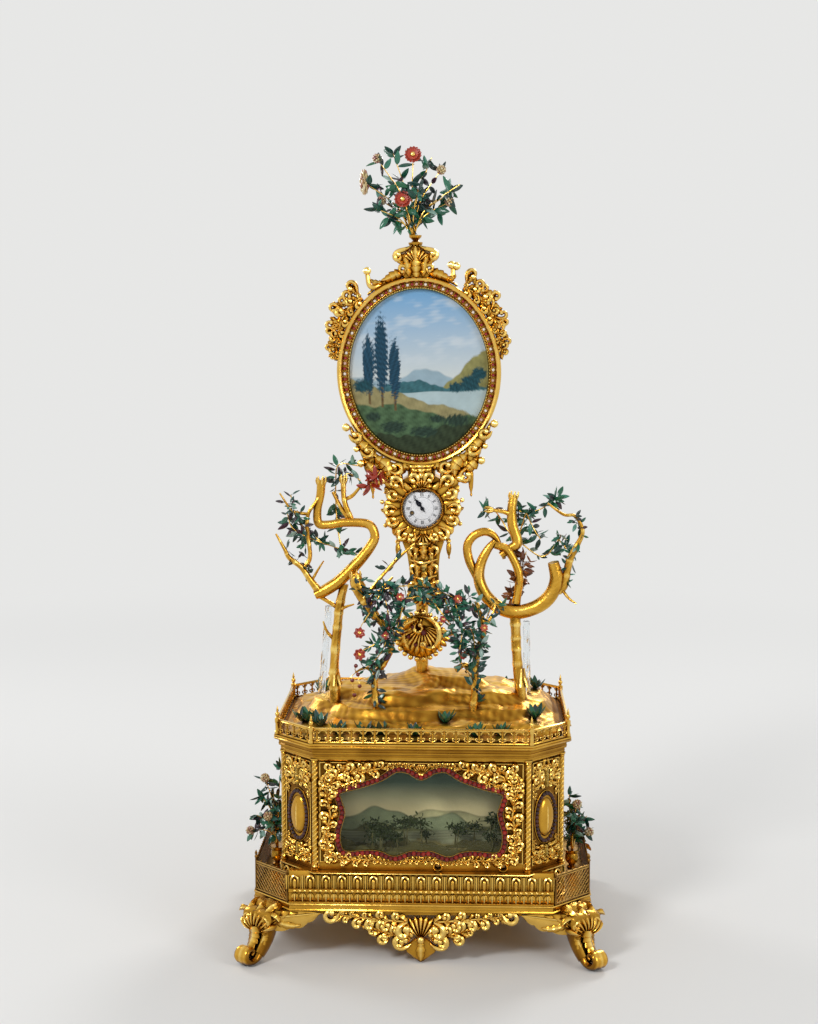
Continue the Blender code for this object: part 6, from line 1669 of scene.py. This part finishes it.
def crest_forms():
    """Cresting on the oval frame: a broad crown with volutes, and the two sides."""
    outline = [(0, 351), (6, 350.5), (9, 346), (15, 342.6), (20, 342), (22.6, 338), (20, 333.6),
               (15, 332.6), (12.4, 328), (12.4, 323), (15, 319), (14, 313), (0, 313)]
    crown = [slab(smooth_outline(two_halves(outline), 3), -7.6, 5, 3.2, 0.55),
             turned([(0.05, 343), (6.2, 344), (5.2, 346.4), (6.0, 349), (7.6, 351.4),
                     (7.8, 353.4), (6.2, 353.6), (0.05, 352.4)], 24, (0, -1, 0)),
             acanthus((0, 316), 90, 28, [0, 0], 7, -8.6, 5, 4.4),
             shell((0, 330), 17.5, 32, 148, 7, -8, 3.4), acanthus((0, 334), 90, 15, [0, 0], 4, -10, 3, 3)]
    shoulders = [*scroll((4, 350), -46, 38, [0, 30, 10, -110, -290], 2.7, -7.4, 3.8, 1.3),
                 acanthus((7, 317), 78, 27, [0, 0, -40], 4.8, -8.6, 4, 4.4),
                 acanthus((12, 330), 20, 14, [0, 30, 70], 3.6, -8, 3, 3.4),
                 *scroll((14, 318), 100, 24, [0, 20, -60, -160, -260], 2.2, -7, 3.2)]
    left = crest_side(-1, 50, [(24, 316), (36, 311), (45, 306), (51.5, 309), (53.5, 321.5)], [(53.5, 324)])
    right = crest_side(1, 57, [(22, 317), (29, 313), (35, 311.5), (39.5, 316), (40, 325.5)],
                       [(38.5, 328), (44, 326.5)])
    return [*crown, *both(shoulders), *left, *right]


def frame_moulding():
    """Rings of the oval frame: plain outer roll, cove for the stones, inner bead; and the dished back."""
    dish = ring([(-13.6, -3.0), (-13.6, 5.0), (-12.4, 6.6), (-11.4, 5.0), (-10.4, 4.6), (-6.8, 4.6),
                 (-6.2, 6.4), (-4.8, 9.6), (-2.8, 10.4), (-1.0, 9.2), (0, 6.4), (0, -6), (-6, -10),
                 (-12, -8)], OVAL_RING, (0, 0, OVAL_HEIGHT), 160, 0.75)
    turn = full_turn(160)
    steps = ((*BEAD_RING, 4.2), (78.4, 92.4, 9.4), (60, 72, 9.9), (58.6, 70.6, 9.3), (0.4, 0.5, 9.3))
    back = skin(np.stack([upright(on_oval(turn, a, b, OVAL_HEIGHT), y) for a, b, y in steps]), tone=0.5)
    fine = pearls(upright(on_oval(full_turn(170), *BEAD_RING, OVAL_HEIGHT), -6.0), 0.95, 0.95, SMALL_PEARL)
    lug = box((-11, 9, 98), (11, 17.4, 134), 0.5)
    return [dish, back, fine, lug]


def oval_paint(x, z):
    """Open landscape, worked out by formulas: sky down to a cream horizon, far ridge, lake, banks and three
    poplars on the left."""
    z = z - OVAL_HEIGHT
    sky = shade(np.array([0.55, 0.59, 0.58]), np.array([0.16, 0.34, 0.56]),
                np.clip((z + 8) / 92, 0, 1) ** 0.9)
    cloud = (np.clip(flecks(x * 0.5, z * 1.1, 3.0) * 0.9, 0, 0.5)[:, None]
             * np.clip((z + 10) / 40, 0, 1)[:, None])
    colour = sky * (1 - cloud) + np.array([0.60, 0.64, 0.66]) * cloud

    def lay(mask, tint, vary, seed, grain=1.0):
        """Lay a flecked colour on where the mask is over nought."""
        nonlocal colour
        mask = np.clip(mask, 0, 1)[:, None]
        body = np.asarray(tint)[None] * (1 + vary * flecks(x * grain, z * grain, seed))[:, None]
        colour = colour * (1 - mask) + body * mask

    def clump(places, tint, soft=4.0):
        """Leafy ovals of (middle x and z, half width and height) with a ragged edge."""
        for cx, cz, rx, rz in places:
            edge = 1 + 0.38 * flecks(x * 6, z * 6, cx * 0.1)
            lay((edge - np.hypot((x - cx) / rx, (z - cz) / rz)) * soft, tint, 0.7, cz * 0.1, 7)

    lay((-6 + 9 * np.exp(-((x - 8) / 22) ** 2) + hills(x, 1.4, 2, 11) - z) / 2.4, (0.26, 0.36, 0.42),
        0.12, 2.0)
    lay((-16 + 40 * np.exp(-((x - 72) / 26) ** 2) + hills(x, 2.4, 2.4, 8) - z) / 1.6, (0.22, 0.21, 0.08),
        0.35, 3.0, 2)
    lay((-16 + 8 * np.exp(-((x + 10) / 20) ** 2) + hills(x, 0.6, 1.6, 7) - z) / 1.2, (0.04, 0.12, 0.14),
        0.4, 5.0, 3)
    lay((-22 + 0.6 * np.sin(x / 9) - z) / 0.8, (0.36, 0.46, 0.48), 0.12, 6.0)
    lay((-30 + hills(x, 4.0, 1.6, 9) - 0.3 * x - z) / 1.2, (0.26, 0.23, 0.11), 0.3, 6.5, 2)
    lay((-42 + hills(x, 3.0, 3, 15) - 0.16 * x - z) / 1.6, (0.06, 0.11, 0.055), 0.6, 7.0, 2.5)
    lay((-66 + hills(x, 5.0, 4, 12) + 0.12 * x - z) / 1.4, (0.028, 0.042, 0.022), 0.6, 8.0, 3)
    for stem_x, foot, top in ((-55, -34, -10), (-41, -38, -8), (-27, -42, -16)):
        stem = (1.7 - np.abs(x - stem_x)) / 0.8
        lay(np.where((z > foot) & (z < top), stem, 0), (0.11, 0.07, 0.03), 0.6, 9.0, 4)
    clump(((-55, 10, 7, 34), (-41, 20, 8, 44), (-27, 4, 7, 34)), (0.014, 0.05, 0.085), 6.0)
    clump(((56, -14, 12, 10), (40, -18, 8, 6), (-62, -14, 12, 8), (66, -4, 9, 8)), (0.014, 0.055, 0.07))
    clump(((-30, -60, 16, 8), (4, -66, 18, 7), (40, -54, 17, 8), (18, -52, 10, 5), (-52, -48, 10, 6)),
          (0.022, 0.042, 0.03), 2.5)
    return np.clip(colour, 0.006, 0.9)


def oval_picture():
    """Oval frame with its cresting, ring of stones in grains, and the slightly domed painted panel."""
    gold("oval_mouldings", leaned(frame_moulding()), ("oval_frame",))
    gold("frame_cresting", leaned(crest_forms()), ("frame_scrollwork",))
    count = 104
    turn = full_turn(count)
    seat = -5.2
    spots = upright(on_oval(turn, *STONE_RING, OVAL_HEIGHT), seat)
    tones = np.resize([1.0, 0.1, 0.6, 0.1], count)
    stones = copies(STONE, spots, FACE_FRONT, 1.75, tones=tones)
    piece("frame_stones", leaned([stones]), PASTE, "paste_stone", ("stone_ring",))
    between = turn + pi / count
    dots = [upright(on_oval(between, STONE_RING[0] + r, STONE_RING[1] + r, OVAL_HEIGHT), seat)
            for r in (-1.5, 1.5)]
    gold("stone_grains", leaned([pearls(np.vstack(dots), 0.8, 1.0, SMALL_PEARL)]))
    radius, angle = np.meshgrid(np.linspace(0.004, 1, 120), full_turn(300), indexing="ij")
    flat = on_oval(angle, PAINTING[0] * radius, PAINTING[1] * radius, OVAL_HEIGHT)
    front = np.stack([flat[..., 0], -0.5 - 0.8 * (1 - radius ** 2), flat[..., 1]], -1)
    back = front[::-24] * (1, 0, 1) + (0, 2.6, 0)
    form = skin(np.concatenate([front, back]))
    paint = oval_paint(form.points[:, 0], form.points[:, 2])
    piece("oval_landscape", leaned([form]), PICTURE, "picture", ("painting_panel",), paint=paint)


# Bouquets: foot of the stems, then the place and the kind of each tip, and the pot's (radius, height)
TOP_BASE = (-3.5, 0, 358)
TOP_TIPS = [(-12, -10, 399, "flower"), (0, 2, 447, "flower"), (-54, 4, 420, "pod"),
            (-39, -6, 444, "beads"), (-36, 8, 400, "beads"), (30, -4, 430, "beads"),
            (46, 6, 410, "leaves"), (26, 14, 386, "leaves"), (-14, 22, 424, "leaves"),
            (10, -20, 422, "leaves"), (38, -2, 396, "beads"), (20, 2, 444, "leaves"),
            (-30, 2, 382, "leaves"), (-44, -4, 392, "leaves"), (-22, 0, 450, "leaves"),
            (50, -4, 414, "leaves"), (18, 6, 398, "leaves"), (-20, -10, 418, "leaves")]
LEFT_TIPS = [(-180, -6, 166, "beads"), (-176, -14, 124, "beads"), (-198, 2, 102, "beads"),
             (-163, 8, 178, "leaves"), (-186, 6, 142, "leaves"), (-170, -10, 148, "leaves"),
             (-190, -4, 122, "leaves"), (-172, 10, 108, "leaves"), (-164, -8, 132, "leaves")]
RIGHT_TIPS = [(172, -8, 140, "beads"), (186, -2, 106, "beads"), (163, 4, 148, "leaves"),
              (184, 6, 122, "leaves"), (170, -10, 122, "leaves"), (176, 8, 100, "leaves"),
              (160, -6, 130, "leaves")]
POT = [(0.05, 64.4), (5.5, 64.4), (5.5, 65.6), (3.2, 67), (3.6, 68.4), (6.4, 71), (7.7, 75), (7.4, 79),
       (6.6, 81), (8.4, 83.6), (9, 85.3), (7.6, 85.5), (0.05, 84)]


def bouquet(base, tips, seed, size, bulge, leaves_each):
    """Arching stems with leaves all along, flowers or bead clusters at some tips, by material."""
    chance = np.random.default_rng(seed)
    stems, leaves, petals, beads, buttons = [], [], [], [], []
    base = np.array(base, float)
    for x, y, z, kind in tips:
        tip = np.array([x, y, z], float)
        elbow = base + (tip - base) * 0.5 + (-(tip[0] - base[0]) * 0.2, 0, bulge)
        route = flowing([base, elbow, tip])
        stems.append(swept(route, [1.1, 0.7, 0.45]))
        outer = route[len(route) // 3:]
        leaves.append(leaves_along(outer, leaves_each, chance, size, 2.0))
        if kind == "flower":
            heads, button = flower(tip, 9.6, (chance.uniform(-0.2, 0.2), -1, 0.3), 15, 0.35)
            petals += heads
            buttons.append(button)
        elif kind in ("beads", "pod"):
            drop = bead_cluster(4.2, chance)
            beads.append(drop.placed(scale=(1, 1, 2.6 if kind == "pod" else 1), shift=tip))
        else:
            leaves.append(leaves_along(route[-4:], 4, chance, size, 1.0))
    return stems, leaves, petals, beads, buttons


def bouquets():
    """Bouquet on the crown and one in a lobed pot on each side ledge."""
    cup = turned([(0.05, 353.2), (4.5, 353.2), (4.7, 354), (3, 355.6), (4.4, 357), (6.6, 359), (7.0, 361),
                  (5.8, 361.2), (5.0, 359.6), (0.05, 359)], 24)
    knots = turned([(0.05, 359), (2.4, 360), (1.7, 363), (2.6, 365), (1.8, 368), (2.4, 371), (0.05, 374)],
                   14, (-1.5, 0, 0))
    stems, leaves, petals, beads, buttons = bouquet(TOP_BASE, TOP_TIPS, 31, 16, 3, 8)
    gold("top_bouquet_stems", leaned([cup, knots, *stems, *buttons]), material=TREE_GILT)
    piece("top_bouquet_leaves", leaned(leaves), LEAF_GLASS, "leaf_glass", ("top_bouquet",))
    piece("top_bouquet_flowers", leaned(petals), FLOWER, "red_stone")
    piece("top_bouquet_beads", leaned(beads), BEADS, "paste_stone")
    for name, side, tips, seed in (("left", -1, LEFT_TIPS, 41), ("right", 1, RIGHT_TIPS, 43)):
        pot = turned(POT, 24, (side * POT_PLACE, 0, 0), wave=0.03, waves=12)
        stems, leaves, _, beads, _ = bouquet((side * POT_PLACE, 0, 83), tips, seed, 13, 9, 15)
        gold(f"pot_and_stems_{name}", [pot, *stems])
        piece(f"side_leaves_{name}", leaves, LEAF_GLASS, "leaf_glass", (f"side_bouquet_{name}",))
        piece(f"side_beads_{name}", beads, BEADS, "paste_stone")


def keep_cad_parts():
    """Finishes of the parts that keep their CAD shape."""
    finishes = {
        PLAIN_GILT: ("plinth", "cabinet_case", "rear_door", "rear_door_knob", "support_column",
                     "clock_case"),
        DARKER_GILT: ("platform",),
        BRASS: ("back_cover", "clock_movement_frame", "clock_barrel", "escape_wheel",
                "base_movement_frame", "music_barrel", "automaton_barrel", "music_cylinder", "bell_stack"),
        PANE: ("window_glass", "dial_glass"),
    }
    for material, names in finishes.items():
        for name in names:
            for holder in nodes[name].material_slots:
                holder.material = material


feet()
aprons()
plinth_trims()
cabinet_trims()
side_frets()
window()
window_scene()
corner_panels()
cornice_trims()
gallery()
for fence_side in (-1, 1):
    fence(fence_side)
mound()
trees()
sprays()
rods()
pendulum()
gold("rocaille_shield", leaned(case_forms()), ("case_ornament",))
clock_face()
oval_picture()
bouquets()
keep_cad_parts()


# Floor, background, lamps and camera
def seen_rays(tree):
    """1 for camera, glossy and transmission rays."""
    path = tree.nodes.new("ShaderNodeLightPath").outputs
    both_kinds = math_of(tree, "MAXIMUM", path["Is Camera Ray"], path["Is Glossy Ray"])
    return math_of(tree, "MAXIMUM", both_kinds, path["Is Transmission Ray"])


def faded_floor(level):
    """Wide pale disc that fades, with distance, into the colour of the background."""
    material = bpy.data.materials.new("studio_floor")
    material.use_nodes = True
    tree = material.node_tree
    shader = tree.nodes["Principled BSDF"]
    shader.inputs["Base Color"].default_value = (0.74, 0.74, 0.73, 1)
    shader.inputs["Roughness"].default_value = 0.85
    place = tree.nodes.new("ShaderNodeTexCoord").outputs["Object"]
    reach = node_of(tree, "ShaderNodeVectorMath", operation="LENGTH")
    tree.links.new(place, reach.inputs[0])
    fade = node_of(tree, "ShaderNodeMapRange", interpolation_type="SMOOTHSTEP")
    fade.inputs["From Min"].default_value = 0.5
    fade.inputs["From Max"].default_value = 2.4
    tree.links.new(reach.outputs["Value"], fade.inputs["Value"])
    seen = seen_rays(tree)
    glow = node_of(tree, "ShaderNodeEmission", Color=(*level, 1), Strength=1.0)
    blend = tree.nodes.new("ShaderNodeMixShader")
    tree.links.new(math_of(tree, "MULTIPLY", fade.outputs["Result"], seen), blend.inputs[0])
    tree.links.new(shader.outputs[0], blend.inputs[1])
    tree.links.new(glow.outputs[0], blend.inputs[2])
    tree.links.new(blend.outputs[0], tree.nodes["Material Output"].inputs["Surface"])
    return material


def area_lamp(name, place, target, size, power):
    """Round soft lamp aimed at a point."""
    data = bpy.data.lights.new(name, "AREA")
    data.shape = "DISK"
    data.size = size
    data.energy = power
    lamp = bpy.data.objects.new(name, data)
    bpy.context.collection.objects.link(lamp)
    lamp.location = place
    way = Vector(target) - Vector(place)
    lamp.rotation_euler = way.to_track_quat("-Z", "Y").to_euler()


def studio():
    """Pale world and floor, four lamps, and the camera that was fitted to the photo."""
    level = (0.80, 0.80, 0.79)
    scene = bpy.context.scene
    world = scene.world or bpy.data.worlds.new("studio")
    scene.world = world
    world.use_nodes = True
    tree = world.node_tree
    tree.nodes.clear()
    soft = node_of(tree, "ShaderNodeBackground", Color=(1, 1, 1, 1), Strength=0.42)
    shown = node_of(tree, "ShaderNodeBackground", Color=(*level, 1), Strength=1.0)
    blend = tree.nodes.new("ShaderNodeMixShader")
    output = tree.nodes.new("ShaderNodeOutputWorld")
    tree.links.new(seen_rays(tree), blend.inputs[0])
    tree.links.new(soft.outputs[0], blend.inputs[1])
    tree.links.new(shown.outputs[0], blend.inputs[2])
    tree.links.new(blend.outputs[0], output.inputs["Surface"])
    sides, floor_radius = 96, 14
    disc = bpy.data.meshes.new("studio_floor")
    disc.from_pydata([(floor_radius * cos(turn), floor_radius * sin(turn), 0)
                      for turn in full_turn(sides)], [], [list(range(sides))])
    disc.materials.append(faded_floor(level))
    floor = bpy.data.objects.new("studio_floor", disc)
    bpy.context.collection.objects.link(floor)
    middle = (0, 0, 0.42)
    area_lamp("key", (-1.3, -1.9, 1.9), middle, 0.7, 34)
    area_lamp("fill", (1.7, -1.5, 1.1), middle, 1.0, 13)
    area_lamp("rim", (0.9, 1.8, 1.7), middle, 0.8, 20)
    area_lamp("rim_left", (-1.6, 1.3, 1.2), middle, 0.8, 12)
    data = bpy.data.cameras.new("photo_camera")
    data.sensor_fit = "VERTICAL"
    data.sensor_height = 36
    data.lens = 61.58
    camera = bpy.data.objects.new("photo_camera", data)
    bpy.context.collection.objects.link(camera)
    camera.location = (0.0539, -1.9262, 0.7028)
    camera.rotation_euler = (pi / 2 - 0.121, 0, 0.037)
    scene.camera = camera
    scene.view_settings.view_transform = "Standard"


studio()
